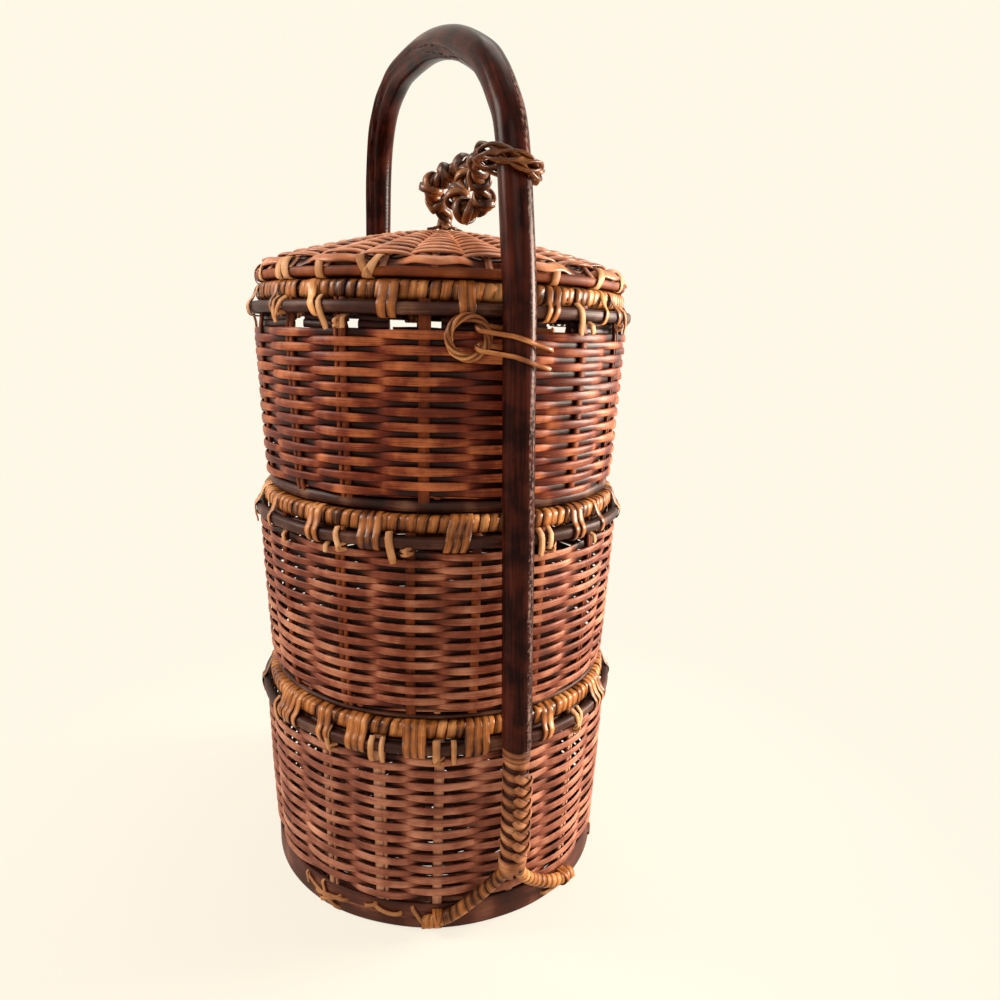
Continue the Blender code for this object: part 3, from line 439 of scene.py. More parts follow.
class Bench:
    """Sweeps strands into meshes and hands over finished pieces."""

    def __init__(self) -> None:
        """Set up the shared materials."""
        self.materials = {finish: finish.value.material() for finish in Finish}

    def sweep(self, strand: Strand) -> bpy.types.Mesh:
        """Bend a flat grid round a strand's line, weld its seam and cap its ends.

        Args:
            strand: The cane to make.

        Returns:
            A closed mesh.
        """
        path = np.asarray(strand.path, dtype=float)
        count = len(path)
        mesh = self.flat_grid(count - 1, strand.sides)
        spots = np.empty(len(mesh.vertices) * 3, np.float32)
        mesh.vertices.foreach_get("co", spots)
        spots = spots.reshape(-1, 3)
        row = np.clip(np.rint((spots[:, 0] + 1) / 2 * (count - 1)).astype(int), 0, count - 1)
        angle = np.pi * spots[:, 1]
        along = np.concatenate([[0.0], np.cumsum(runs_of(path))])
        out = self.section(strand, path, row, angle)
        reach = 1.0 if strand.relief is None else 1 + strand.relief(along[row], angle)[:, None]
        mesh.vertices.foreach_set("co", (path[row] + out * reach).astype(np.float32).ravel())
        self.set_value(mesh, "tone", np.broadcast_to(strand.tone, (count,))[row])
        # The edge mask is one at the sides of a strand and carries the finishes' painted edge shade
        self.set_value(mesh, "edge", np.abs(np.sin(angle)) ** 3)
        for name, rule in (strand.extra or {}).items():
            self.set_value(mesh, name, rule(along[row], angle))
        self.lay_uv(mesh, strand, along)
        return self.closed(mesh)

    @staticmethod
    def flat_grid(long: int, wide: int) -> bpy.types.Mesh:
        """Return a flat grid with a UV layer."""
        grid = bmesh.new()
        grid.loops.layers.uv.new("UVMap")
        bmesh.ops.create_grid(grid, x_segments=long, y_segments=wide, size=1.0, calc_uvs=True)
        mesh = bpy.data.meshes.new("strand")
        grid.to_mesh(mesh)
        grid.free()
        return mesh

    @staticmethod
    def section(strand: Strand, path: np.ndarray, row: np.ndarray, angle: np.ndarray) -> np.ndarray:
        """Return how far each point of a strand stands off its line.

        Args:
            strand: The cane.
            path: Its line.
            row: Place along the line of each point.
            angle: Angle of each point round the line, from the middle of the face.

        Returns:
            One offset for each point.
        """
        heading = tangents(path)
        face = square_to(np.asarray(strand.normals, dtype=float), heading)
        side = np.cross(face, heading)
        width = np.broadcast_to(strand.width, (len(path),))
        thickness = np.broadcast_to(strand.thickness, (len(path),))
        # Rounding makes both edges of the seam meet, whatever power they are raised to
        along_face = swelled(np.round(np.cos(angle), 5), strand.fullness)
        along_side = swelled(np.round(np.sin(angle), 5), strand.fullness)
        along_face = np.where(along_face < 0, along_face * strand.back, along_face)
        across = side[row] * (along_side * width[row] / 2)[:, None]
        return face[row] * (along_face * thickness[row] / 2)[:, None] + across

    @staticmethod
    def lay_uv(mesh: bpy.types.Mesh, strand: Strand, along: np.ndarray) -> None:
        """Lay the UV map in metres: along the cane and round it."""
        sheet = mesh.uv_layers[0].uv
        flat = np.empty(len(sheet) * 2, np.float32)
        sheet.foreach_get("vector", flat)
        flat = flat.reshape(-1, 2)
        count = len(along)
        width, thickness = np.broadcast_to(strand.width, (count,)), np.broadcast_to(strand.thickness, (count,))
        girth = 1.7 * (float(np.mean(width)) + float(np.mean(thickness)))
        flat[:, 0] = np.interp(flat[:, 0] * (count - 1), np.arange(count), along) + strand.start
        flat[:, 1] = flat[:, 1] * girth + strand.start
        sheet.foreach_set("vector", flat.ravel())

    @staticmethod
    def closed(mesh: bpy.types.Mesh) -> bpy.types.Mesh:
        """Weld a swept mesh along its seam and cap its ends."""
        form = bmesh.new()
        form.from_mesh(mesh)
        bmesh.ops.remove_doubles(form, verts=form.verts, dist=WELD)
        bmesh.ops.holes_fill(form, edges=[edge for edge in form.edges if edge.is_boundary], sides=0)
        form.to_mesh(mesh)
        form.free()
        return mesh

    @staticmethod
    def set_value(mesh: bpy.types.Mesh, name: str, values: np.ndarray) -> None:
        """Store one number for each point of a mesh."""
        layer = mesh.attributes.new(name, "FLOAT", "POINT")
        layer.data.foreach_set("value", np.asarray(values, dtype=np.float32))

    def piece(
        self, name: str, strands: list[Strand], finish: Finish, body: Body, slot: Slot, *nodes: str
    ) -> bpy.types.Object:
        """Make one piece from its strands and place it on its body.

        Args:
            name: Name of the piece.
            strands: The canes in it.
            finish: Its finish.
            body: Body that carries it.
            slot: Slot of the record that its finish comes from; not used.
            *nodes: Nodes of the frame that it stands for.

        Returns:
            The finished object.
        """
        form = bmesh.new()
        for strand in strands:
            mesh = self.sweep(strand)
            form.from_mesh(mesh)
            bpy.data.meshes.remove(mesh)
        mesh = bpy.data.meshes.new(name)
        form.to_mesh(mesh)
        form.free()
        mesh.shade_smooth()
        mesh.set_sharp_from_angle(angle=CREASE)
        mesh.materials.append(self.materials[finish])
        item = bpy.data.objects.new(name, mesh)
        bpy.context.scene.collection.objects.link(item)
        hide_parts(*nodes)
        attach(item, body.value)
        LOG.info("%s: %d faces on %s", name, len(mesh.polygons), body.value)
        return item


def hoop(radius: float, height: float, width: float, depth: float, seed: int, **settings) -> Strand:
    """Return a closed hoop strand that wavers a little.

    Args:
        radius: Radius of its line.
        height: Height of its line.
        width: How tall it is.
        depth: How thick it is from back to face.
        seed: Seed of its wavering.
        **settings: Other fields of the strand.

    Returns:
        The strand.
    """
    count = 145
    turn = np.linspace(0, FULL_TURN, count)
    path = ring(radius + ripple(count, seed, 9, 0.00012), turn, height + ripple(count, seed + 1, 7, 0.00015))
    path[-1] = path[0]
    tone = 0.5 + ripple(count, seed + 2, 14, 0.12)
    return Strand(path, ring(1.0, turn, 0.0), width, depth, tone=tone, **settings)


def facing_out(radius, bearing: np.ndarray, height, *sizes, rise: float = 0.0, **settings) -> Strand:
    """Return a strand whose face turns away from the tiers' axis.

    Args:
        radius: Radius of its line.
        bearing: Turn about the axis at each of its points.
        height: Height of its line.
        *sizes: Its width and thickness.
        rise: How far its face also turns up.
        **settings: Other fields of the strand.

    Returns:
        The strand.
    """
    return Strand(ring(radius, bearing, height), ring(1.0, bearing, rise), *sizes, **settings)


def over_rim(line: np.ndarray, bearing: np.ndarray, base: float, middle: tuple, *sizes, **settings) -> Strand:
    """Return a strap that follows a section over a rim, its face turned away from the section's middle.

    Args:
        line: Radius and height of each of its points.
        bearing: Turn about the axis at each of its points.
        base: Height that the section stands on.
        middle: Radius and height of the section's middle.
        *sizes: Its width and thickness.
        **settings: Other fields of the strand.

    Returns:
        The strand.
    """
    path = ring(line[:, 0], bearing, base + line[:, 1])
    if is_closed(path):
        path[-1] = path[0]
    away = line - np.array(middle)
    return Strand(path, ring(away[:, 0], bearing, away[:, 1]), *sizes, back=0.4, **settings)


Rows = tuple[tuple[float, ...], ...]

# Section of a long strap as radius and height from the lower hoop's middle: over the rim, down over the lower hoop
# and back up through the wall's slot
STRAP_SECTION: Rows = (
    (0.1098, 0.0030), (0.1100, 0.0105), (0.1122, 0.0146), (0.1162, 0.0150), (0.1197, 0.0129), (0.1212, 0.0094),
    (0.1230, 0.0058), (0.1256, 0.0026), (0.1257, -0.0010), (0.1243, -0.0040), (0.1205, -0.0046), (0.1150, -0.0044),
    (0.1110, -0.0034), (0.1098, 0.0030),
)
# Section of a lashing over the lid's edge hoop as radius and height from the lid's seat
LASHING_SECTION: Rows = (
    (0.1130, 0.0106), (0.1166, 0.0110), (0.1192, 0.0086), (0.1203, 0.0056), (0.1203, 0.0020), (0.1190, -0.0002),
    (0.1160, -0.0002), (0.1150, 0.0010),
)
# Heights and radii of a cut end that starts over the lower hoop, and of one that starts under it
LONG_END = ((-0.013, -0.008, -0.0045, 0.0, 0.0032, 0.0062), (0.1243, 0.1246, 0.1256, 0.1258, 0.1250, 0.1212))
SHORT_END = ((-0.013, -0.008, -0.0055), (0.1243, 0.1248, 0.1246, 0.1205))
# Turns of a knot as spread in degrees, rise along the turn, height and how far it stands out
KNOT_TURNS: Rows = (
    (1.5, 0.0012, 0.0013, 0.0024), (1.6, -0.0008, -0.0002, 0.0024), (1.5, 0.0006, -0.0018, 0.0024),
    (0.2, 0.0030, 0.0, 0.0029),
)
# Stakes behind as strips of offset and width
HIDDEN_STRIPS: tuple[Rows, ...] = (
    ((0.0, 0.0058),), ((0.0, 0.0052),), ((-0.0014, 0.0040), (0.0026, 0.0024)), ((0.0, 0.0062),)
)


@dataclass(frozen=True)
class TierLook:
    """What tells one tier's cane work from another's: finishes, strand height and details listed one by one.

    Turns are in degrees, widths in metres and heights in metres from the lower hoop's middle.
    """

    weave: Finish
    stake: Finish
    strand_height: float
    stake_strips: tuple[Rows, ...]
    straps: Rows
    cut_ends: Rows
    knots: Rows
    slot_rows: Rows = ()


@dataclass
class WovenTier:
    """One tier: stakes, a spiral wall weave, foot hoops, a floor and a bound rim."""

    name: str
    body: Body
    seat: float
    hoop_z: float
    foot: float
    weave_low: float
    weave_top: float
    rows: float
    seen_stakes: tuple[float, ...]
    seed: int
    look: TierLook
    stake_count: int = 17
    strand_thickness: float = 0.0019
    stake_thickness: float = 0.0021
    cane_skin: float = 0.0008
    turns: int = 131

    def stakes(self) -> np.ndarray:
        """Return the turn of each stake: the seen ones as they stand, the others spread over the rest."""
        seen = np.radians(self.seen_stakes)
        rest = np.linspace(seen[-1], seen[0] + FULL_TURN, self.stake_count - len(seen) + 2)[1:-1]
        return np.concatenate([seen, rest])

    def hidden_stakes(self) -> np.ndarray:
        """Return the turns of the stakes behind, in degrees."""
        return np.degrees(self.stakes())[len(self.seen_stakes) :]

    def wall_radius(self, height: np.ndarray) -> np.ndarray:
        """Return the radius of the stakes' line in the wall at heights."""
        share = np.clip((height - self.seat) / (self.weave_top - self.seat), 0, 1)
        outer = WALL_FOOT_RADIUS + (WALL_TOP_RADIUS - WALL_FOOT_RADIUS) * share**0.8
        if self.body is not Body.BASE:
            outer = outer - 0.0016 * np.clip((self.seat + 0.010 - height) / 0.006, 0, 1)
        return outer - self.strand_thickness - self.stake_thickness / 2

    def passed(self, turn: np.ndarray) -> np.ndarray:
        """Return how many stakes a weaver has passed at each turn, with parts between two stakes."""
        marks = self.stakes()
        whole = np.floor((turn - marks[0]) / FULL_TURN)
        within = turn - marks[0] - whole * FULL_TURN
        known = np.concatenate([marks - marks[0], [FULL_TURN]])
        return whole * self.stake_count + np.interp(within, known, np.arange(self.stake_count + 1))

    def wander(self, count: int, order: int, waves: int, size: float) -> np.ndarray:
        """Return the weaver's own wander of one order, with its waves counted for each row."""
        return ripple(count, self.seed + order, int(self.rows * waves), size)

    def weaver(self) -> Strand:
        """Return the wall's one long weaver, before one stake and behind the next."""
        steps = int(self.rows * self.stake_count * 10)
        turn = np.linspace(0, FULL_TURN * self.rows, steps)
        share = turn / turn[-1]
        beat = np.cos(math.pi * self.passed(turn))
        behind = np.clip(-beat, 0, 1)
        half = self.look.strand_height / 2
        low, high = self.weave_low + half, self.weave_top - half
        height = low + (high - low) * share + self.wander(steps, 0, 5, 0.00032) * (1 - share**8)
        reach = self.stake_thickness / 2 + self.strand_thickness / 2
        radius = self.wall_radius(height) + reach * swelled(beat, 0.7) + self.wander(steps, 1, 9, 0.00012)
        width = self.look.strand_height * (0.88 + 0.12 * np.abs(beat) ** 0.7 + 0.2 * behind)
        width = width + self.wander(steps, 2, 11, 0.00025)
        # Painted shade: the strand is darkened where it passes behind the stakes, in the wall's recesses; the rest is
        # its own wander of tone
        tone = 0.55 + self.wander(steps, 3, 3, 0.1) - 0.65 * behind**0.8 + self.wander(steps, 4, 23, 0.05)
        normals = ring(1.0, turn, self.wander(steps, 5, 8, 0.12))
        sizes = (width, self.strand_thickness)
        return Strand(ring(radius, turn, height), normals, *sizes, sides=10, fullness=0.85, back=0.7, tone=tone)

    def slot_rows(self) -> list[Strand]:
        """Return the lengths behind the stakes that close parts of the slot over the weave, coloured near black as
        painted shade under the rim.
        """
        strands = []
        for first, last in self.look.slot_rows:
            share = np.linspace(0, 1, max(8, int(last - first)))
            turn = np.radians(first + (last - first) * share)
            for rise, inward in ((0.0032, 0.0044), (-0.0008, 0.0034)):
                height = self.weave_top + rise + 0.0003 * np.sin(5 * share + first)
                radius = self.wall_radius(height) - inward
                # Tone near zero: these strands are painted shade
                strands.append(facing_out(radius, turn, height, 0.0046, 0.0016, fullness=0.7, tone=0.05, start=first))
        return strands

    def stake_strips(self) -> list[Strand]:
        """Return the stakes, some of them two thin strips side by side."""
        draw = np.random.default_rng(self.seed + 10)
        height = np.linspace(self.weave_low - 0.0018, self.hoop_z + 0.0055, 22)
        wall = self.wall_radius(height)
        radius = wall + (STAKE_RADIUS - wall) * np.clip((height - self.weave_top + 0.004) / 0.006, 0, 1)
        shapes, strips = self.look.stake_strips, []
        for k, turn in enumerate(self.stakes()):
            shape = shapes[k] if k < len(shapes) else HIDDEN_STRIPS[int(draw.integers(len(HIDDEN_STRIPS)))]
            for offset, width in shape:
                bearing = turn + offset / radius + np.linspace(0, draw.normal(0, 0.005), 22)
                settings = {"tone": 0.5 + draw.normal(0, 0.08), "start": draw.uniform(0, 1)}
                strips.append(
                    facing_out(radius, bearing, height, width, self.stake_thickness, fullness=0.5, **settings)
                )
        return strips

    def binding(self) -> Strand:
        """Return the flat cane that is wound round the rim's top hoop, turn beside turn."""
        draw = np.random.default_rng(self.seed + 20)
        angle = np.linspace(0, FULL_TURN * self.turns, self.turns * 16)
        lap, marks = angle / FULL_TURN, np.arange(self.turns + 1)
        scatter = ((0.0, 0.00016), (0.0, 0.0045), (0.0056, 0.0004), (0.52, 0.12))
        bulge, slip, width, tone = [
            np.interp(lap, marks, middle + draw.normal(0, spread, self.turns + 1)) for middle, spread in scatter
        ]
        turn = angle / self.turns + slip
        out, up = np.cos(angle), np.sin(angle)
        radius = RIM_RADIUS - 0.0001 + (0.0046 + bulge) * swelled(out, 0.6)
        height = self.hoop_z + RIM_RISE + (0.0047 + bulge) * swelled(up, 0.6)
        normals = ring(out, turn, up)
        return Strand(
            ring(radius, turn, height), normals, width, self.cane_skin, fullness=0.22, back=0.4, tone=tone
        )

    def strap(self, turn: float, width: float, slant: float, tone: float) -> Strand:
        """Return one long turn of cane over the rim, down over the lower hoop and back through the wall's slot.

        Args:
            turn: Where it stands, in degrees.
            width: Its width.
            slant: How far its foot stands from its head, in degrees.
            tone: Its tone.

        Returns:
            The strand.
        """
        line = catmull(STRAP_SECTION, 4)
        bearing = math.radians(turn) - math.radians(slant) * (line[:, 1] - 0.005) / 0.02
        narrow = 1.2 * width * (1 - 0.2 * np.clip((0.004 - line[:, 1]) / 0.008, 0, 1))
        narrow[-1] = narrow[0]
        sizes = (narrow, self.cane_skin)
        return over_rim(line, bearing, self.hoop_z, (0.1175, 0.0045), *sizes, fullness=0.4, tone=tone, start=turn)

    def straps(self) -> list[Strand]:
        """Return the long turns: the seen ones as they stand, and one to three beside each other stake."""
        draw = np.random.default_rng(self.seed + 30)
        places = list(self.look.straps)
        for turn in self.hidden_stakes():
            count = int(draw.choice([1, 2, 2, 3]))
            shift = draw.uniform(-5, 5)
            for k in range(count):
                places.append((turn + shift + 2.1 * k, draw.uniform(0.0036, 0.0044), draw.normal(0, 0.6)))
        return [self.strap(*place, 0.55 + draw.normal(0, 0.1)) for place in places]

    def cut_end(self, turn: float, high: float, low: float, lean: float, width: float) -> Strand:
        """Return one loose end of cane that hangs out of the slot over the first rows.

        Args:
            turn: Where it starts, in degrees.
            high: Height of its start from the lower hoop's middle.
            low: Height of its tip from there.
            lean: How far its tip stands from its start, in degrees.
            width: Its width.

        Returns:
            The strand.
        """
        share = np.linspace(0, 1, 20)
        rise = high + (low - high) * share
        heights, radii = LONG_END if high > 0 else ((*SHORT_END[0], high), SHORT_END[1])
        bearing = math.radians(turn) + math.radians(lean) * share
        taper = width * np.where(share > 0.85, 1 - 1.2 * (share - 0.85), 1.0)
        radius, height = np.interp(rise, heights, radii), self.hoop_z + rise
        return facing_out(radius, bearing, height, taper, 0.0011, rise=0.15, fullness=0.5, tone=0.6, start=turn)

    def knot(self, turn: float, rise: float) -> list[Strand]:
        """Return short turns of cane that cross each other, as a tied end does.

        Args:
            turn: Where it stands, in degrees.
            rise: Its height from the lower hoop's middle.

        Returns:
            The strands.
        """
        share = np.linspace(-1, 1, 13)
        strands = []
        for spread, tall, level, stand in KNOT_TURNS:
            bearing = math.radians(turn) + math.radians(spread) * share
            height = self.hoop_z + rise + level + tall * share
            radius = 0.1232 + stand * np.cos(share * math.pi / 2)
            strands.append(facing_out(radius, bearing, height, 0.0020, 0.0011, fullness=0.6, tone=0.42, start=turn))
        return strands

    def loose_ends(self) -> list[Strand]:
        """Return the cut ends and knots below the rim, the seen ones first."""
        draw = np.random.default_rng(self.seed + 40)
        ends = list(self.look.cut_ends)
        for turn in self.hidden_stakes():
            if draw.random() < 0.6:
                ends.append(
                    (turn + draw.uniform(-4, 4), 0.0060, draw.uniform(-0.012, -0.008), draw.uniform(-2, 2), 0.0038)
                )
        strands = [self.cut_end(*place) for place in ends]
        return strands + [strand for place in self.look.knots for strand in self.knot(*place)]

    def piece(self, bench: Bench, name: str, strands: list[Strand], finish: Finish, slot: Slot, *nodes: str) -> None:
        """Make one piece whose name and nodes start with the tier's."""
        names = [f"{self.name}_{node}" for node in nodes]
        bench.piece(f"{self.name}_{name}", strands, finish, self.body, slot, *names)

    def build(self, bench: Bench) -> None:
        """Build and dress every piece of the tier."""
        self.piece(bench, "weave", [self.weaver(), *self.slot_rows()], self.look.weave, Slot.WEAVE, "wall")
        self.piece(bench, "stakes", self.stake_strips(), self.look.stake, Slot.WEAVE, "wall")
        radius, hoop_z = HOOP_RADIUS - HOOP_DEPTH + 0.0001, self.hoop_z
        lower = hoop(radius, hoop_z + 0.0004, 0.0070, 2 * HOOP_DEPTH, self.seed, **HALF_ROUND)
        inner = hoop(0.1154, hoop_z, 0.0060, 0.0036, self.seed + 5, fullness=0.5)
        core = hoop(RIM_RADIUS, hoop_z + RIM_RISE, 0.0084, 0.0082, self.seed + 8, sides=12, fullness=1.0)
        self.piece(bench, "rim_lower_hoop", [lower], Finish.HOOP, Slot.DARK_HOOP, "lower_hoop")
        self.piece(bench, "rim_inner_hoop", [inner], Finish.HOOP, Slot.DARK_HOOP, "inner_hoop")
        self.piece(bench, "rim_core", [core], Finish.HOOP, Slot.GOLDEN_CANE, "rim_hoop")
        rim = ("rim_hoop", "rim_lacing")
        self.piece(bench, "rim_binding", [self.binding()], Finish.BINDING, Slot.GOLDEN_CANE, *rim)
        self.piece(bench, "rim_straps", self.straps(), Finish.BINDING, Slot.GOLDEN_CANE, rim[1])
        self.piece(bench, "rim_cut_ends", self.loose_ends(), Finish.CUT_CANE, Slot.GOLDEN_CANE, rim[1])
        self.build_foot(bench)

    def band_tie(self, turn: float, low: float, end_turn: float, high: float, width: float, bow: float) -> Strand:
        """Return one strap of cane laid over the foot band, its ends tucked into it.

        Args:
            turn: Turn of its first end, in degrees.
            low: Height of its first end.
            end_turn: Turn of its last end, in degrees.
            high: Height of its last end.
            width: Its width.
            bow: How far its middle hangs below the straight line.

        Returns:
            The strand.
        """
        share = np.linspace(0, 1, 18)
        arch = np.sin(math.pi * share)
        bearing = np.radians(turn + (end_turn - turn) * share)
        height = low + (high - low) * share - bow * arch
        radius = WALL_FOOT_RADIUS - 0.0006 + 0.0016 * np.clip(arch * 3, 0, 1)
        return facing_out(radius, bearing, height, width, 0.0011, fullness=0.5, tone=0.45, start=turn)

    def build_foot(self, bench: Bench) -> None:
        """Build what the tier stands on, and its floor."""
        if self.body is Body.BASE:
            band = hoop(WALL_FOOT_RADIUS - 0.0014, 0.0093, 0.0176, 0.0028, self.seed, sides=24, fullness=0.3)
            ties = [self.band_tie(*place) for place in BAND_TIES]
            under = hoop(0.1082, 0.0045, 0.0050, 0.0044, self.seed + 6, fullness=0.6)
            for name, strands, finish, slot, node in (
                ("foot_band", [band], Finish.BAND, Slot.FOOT_BAMBOO, "bottom_foot_band"),
                ("foot_band_ties", ties, Finish.CUT_CANE, Slot.FOOT_BAMBOO, "bottom_foot_band"),
                ("floor_hoop", [under], Finish.HOOP, Slot.DARK_HOOP, "bottom_floor_hoop"),
            ):
                bench.piece(name, strands, finish, self.body, slot, node)
            radius, level, reach = 0.1160, 0.0088, 0.0011
        else:
            base = self.seat + self.foot
            tall = self.foot + 0.0057
            outer = hoop(
                FOOT_RADIUS, self.seat + self.foot / 2, self.foot - 0.0003, FOOT_DEPTH, self.seed, fullness=0.4
            )
            collar = hoop(COLLAR_RADIUS, base - tall / 2, tall, COLLAR_DEPTH, self.seed + 6, fullness=0.35)
            self.piece(bench, "foot", [outer], Finish.HOOP, Slot.DARK_HOOP, "foot_hoop")
            self.piece(bench, "collar", [collar], Finish.BAND, Slot.FOOT_BAMBOO, "nest_collar")
            radius, level, reach = 0.1150, base + 0.0015, 0.0006
        floor = RadialWeave(radius, lambda spot: level + 0 * spot, 0.0042, self.seed + 7, reach, width=0.0052)
        self.piece(bench, "floor_weave", [*floor.ribs(), floor.weaver()], self.look.weave, Slot.WEAVE, "floor")


@dataclass
class RadialWeave:
    """A disc or cone woven in a spiral over ribs that run out from its middle."""

    radius: float
    surface: Callable[[np.ndarray], np.ndarray]
    pitch: float
    seed: int
    reach: float
    rib_count: int = 17
    start_radius: float = 0.0070
    sway: float = 0.0
    steps: int = 5
    width: float = 0.0044
    phase: float = 0.0

    def normals(self, radius: np.ndarray, turn: np.ndarray) -> np.ndarray:
        """Return the direction away from the surface at radii and turns."""
        step = 0.0001
        slope = (self.surface(radius + step) - self.surface(radius)) / step
        return unit(ring(-slope, turn, np.ones_like(slope)))

    def ribs(self) -> list[Strand]:
        """Return the ribs, from near the middle to the edge."""
        draw = np.random.default_rng(self.seed)
        radius = np.linspace(self.start_radius, self.radius, 20)
        width = 0.0040 * np.clip(radius / 0.030, 0.35, 1.0)
        strands = []
        for k in range(self.rib_count):
            turn = self.phase + FULL_TURN * k / self.rib_count + np.linspace(0, draw.normal(0, 0.02), 20)
            path = ring(radius, turn, self.surface(radius))
            tone = 0.5 + draw.normal(0, 0.1)
            strands.append(Strand(path, self.normals(radius, turn), width, 0.0014, tone=tone, start=draw.random()))
        return strands

    def weaver(self) -> Strand:
        """Return the one long weaver that winds from the middle to the edge."""
        laps = (self.radius - self.start_radius) / self.pitch
        count = int(laps * self.rib_count * self.steps)
        turn = np.linspace(0, FULL_TURN * laps, count)
        radius = self.start_radius + self.pitch * turn / FULL_TURN
        beat = np.cos(self.rib_count * (turn - self.phase) / 2)
        calm = np.clip(radius / 0.040, 0.3, 1.0)
        radius = radius + self.sway * calm * np.cos(self.rib_count * (turn - self.phase))
        radius = np.minimum(radius + ripple(count, self.seed + 1, int(laps * 9), 0.00025), self.radius)
        normals = self.normals(radius, turn)
        lift = self.reach * calm * swelled(beat, 0.7)
        path = ring(radius, turn, self.surface(radius)) + normals * lift[:, None]
        width = self.width * (1 + 0.06 * beat) + ripple(count, self.seed + 3, int(laps * 11), 0.0002)
        # Painted shade: the strand is darkened where it passes under a rib, in the recesses of the weave
        tone = 0.55 + ripple(count, self.seed + 2, int(laps * 4), 0.12) - 0.6 * np.clip(-beat, 0, 1) * calm
        return Strand(path, normals, width, 0.0018, sides=10, fullness=0.85, tone=tone)


@dataclass
class Lid:
    """Shallow woven cone with a split edge hoop, its lashings, a foot hoop and a collar."""

    outer: float = 0.1200
    hoop_height: float = 0.0056
    hoop_depth: float = 0.0044
    weave_radius: float = 0.1194
    # Turn and lean in degrees, and width
    lashings: Rows = (
        (-70.0, 0.6, 0.0064), (-66.6, -0.8, 0.0070), (-53.4, 0.0, 0.0056), (-40.0, -2.6, 0.0046),
        (-38.4, 3.0, 0.0050), (10.4, 0.6, 0.0054), (28.4, 2.6, 0.0058), (45.0, 1.6, 0.0056),
    )

    @staticmethod
    def surface(radius: np.ndarray) -> np.ndarray:
        """Return the height of the woven cone's middle at radii, which turns down over the edge hoop."""
        edge = np.clip((radius - 0.1130) / 0.0065, 0, 1.1)
        return LID_SEAT + 0.0374 - 0.158 * radius - 0.664 * radius**2 - 0.0042 * edge**2

    @staticmethod
    def lashing(turn: float, lean: float, width: float, tone: float) -> Strand:
        """Return one short strap over the edge hoop.

        Args:
            turn: Where it stands, in degrees.
            lean: How far its foot stands from its head, in degrees.
            width: Its width.
            tone: Its tone.

        Returns:
            The strand.
        """
        line = catmull(LASHING_SECTION, 4)
        bearing = math.radians(turn) + math.radians(lean) * (line[:, 1] - 0.004) / 0.01
        sizes = (width, 0.0010)
        return over_rim(line, bearing, LID_SEAT, (0.1165, 0.0040), *sizes, fullness=0.5, tone=tone, start=turn)

    def edge_hoops(self) -> list[Strand]:
        """Return the split hoop round the edge and the thinner one that backs it."""
        middle = LID_SEAT + 0.0003 + self.hoop_height / 2
        outer = hoop(self.outer - self.hoop_depth, middle, self.hoop_height, 2 * self.hoop_depth, 62, **HALF_ROUND)
        return [outer, hoop(0.1135, LID_SEAT + 0.0076, 0.0030, 0.0030, 66, fullness=0.7)]

    def build(self, bench: Bench) -> None:
        """Build and dress the lid's pieces."""
        shape = {"rib_count": 25, "sway": 0.0007, "steps": 10, "width": 0.0052, "phase": math.radians(-21.5)}
        weave = RadialWeave(self.weave_radius, self.surface, 0.0046, 61, 0.0022, **shape)
        foot = hoop(FOOT_RADIUS, LID_SEAT + 0.0039, 0.0078, FOOT_DEPTH, 63, fullness=0.4)
        collar = hoop(COLLAR_RADIUS, LID_SEAT - 0.00105, 0.0099, COLLAR_DEPTH, 64, fullness=0.35)
        draw = np.random.default_rng(65)
        places = list(self.lashings) + [(68 + 19.0 * k, draw.normal(0, 1.0), 0.0042) for k in range(12)]
        straps = [self.lashing(*place, 0.62 + draw.normal(0, 0.08)) for place in places]
        for name, strands, finish, slot, node in (
            ("weave", [weave.weaver()], Finish.LID, Slot.LID_WEAVE, "shell"),
            ("ribs", weave.ribs(), Finish.STAKE_PALE, Slot.LID_WEAVE, "shell"),
            ("edge_hoop", self.edge_hoops(), Finish.STAKE_BROWN, Slot.DARK_HOOP, "hoop"),
            ("foot", [foot], Finish.BAND, Slot.DARK_HOOP, "foot_hoop"),
            ("inner_collar", [collar], Finish.BINDING, Slot.GOLDEN_CANE, "collar"),
            ("lashings", straps, Finish.CUT_CANE, Slot.GOLDEN_CANE, "hoop"),
        ):
            bench.piece(f"lid_{name}", strands, finish, Body.LID, slot, f"lid_{node}")


# Points along the arch after the front leg, as shares of the leg's offset and of the arch's rise, with the cane's
# thickness there as a share of the leg's
ARCH: Rows = (
    (0.980, 0.18, 1.0), (0.947, 0.41, 0.98), (0.909, 0.555, 0.97), (0.845, 0.645, 0.98), (0.757, 0.735, 0.99),
    (0.640, 0.812, 1.0), (0.366, 0.920, 1.0), (0.040, 0.985, 1.0), (-0.335, 1.000, 1.01), (-0.530, 0.975, 1.03),
    (-0.710, 0.912, 1.05), (-0.830, 0.802, 1.08), (-0.905, 0.635, 1.09), (-0.955, 0.395, 1.09), (-0.990, 0.15, 1.07),
)


def hump(value: np.ndarray, middle: float, width: float, power: int = 2) -> np.ndarray:
    """Return a smooth hump of height one round a middle."""
    return np.exp(-(((value - middle) / width) ** power))


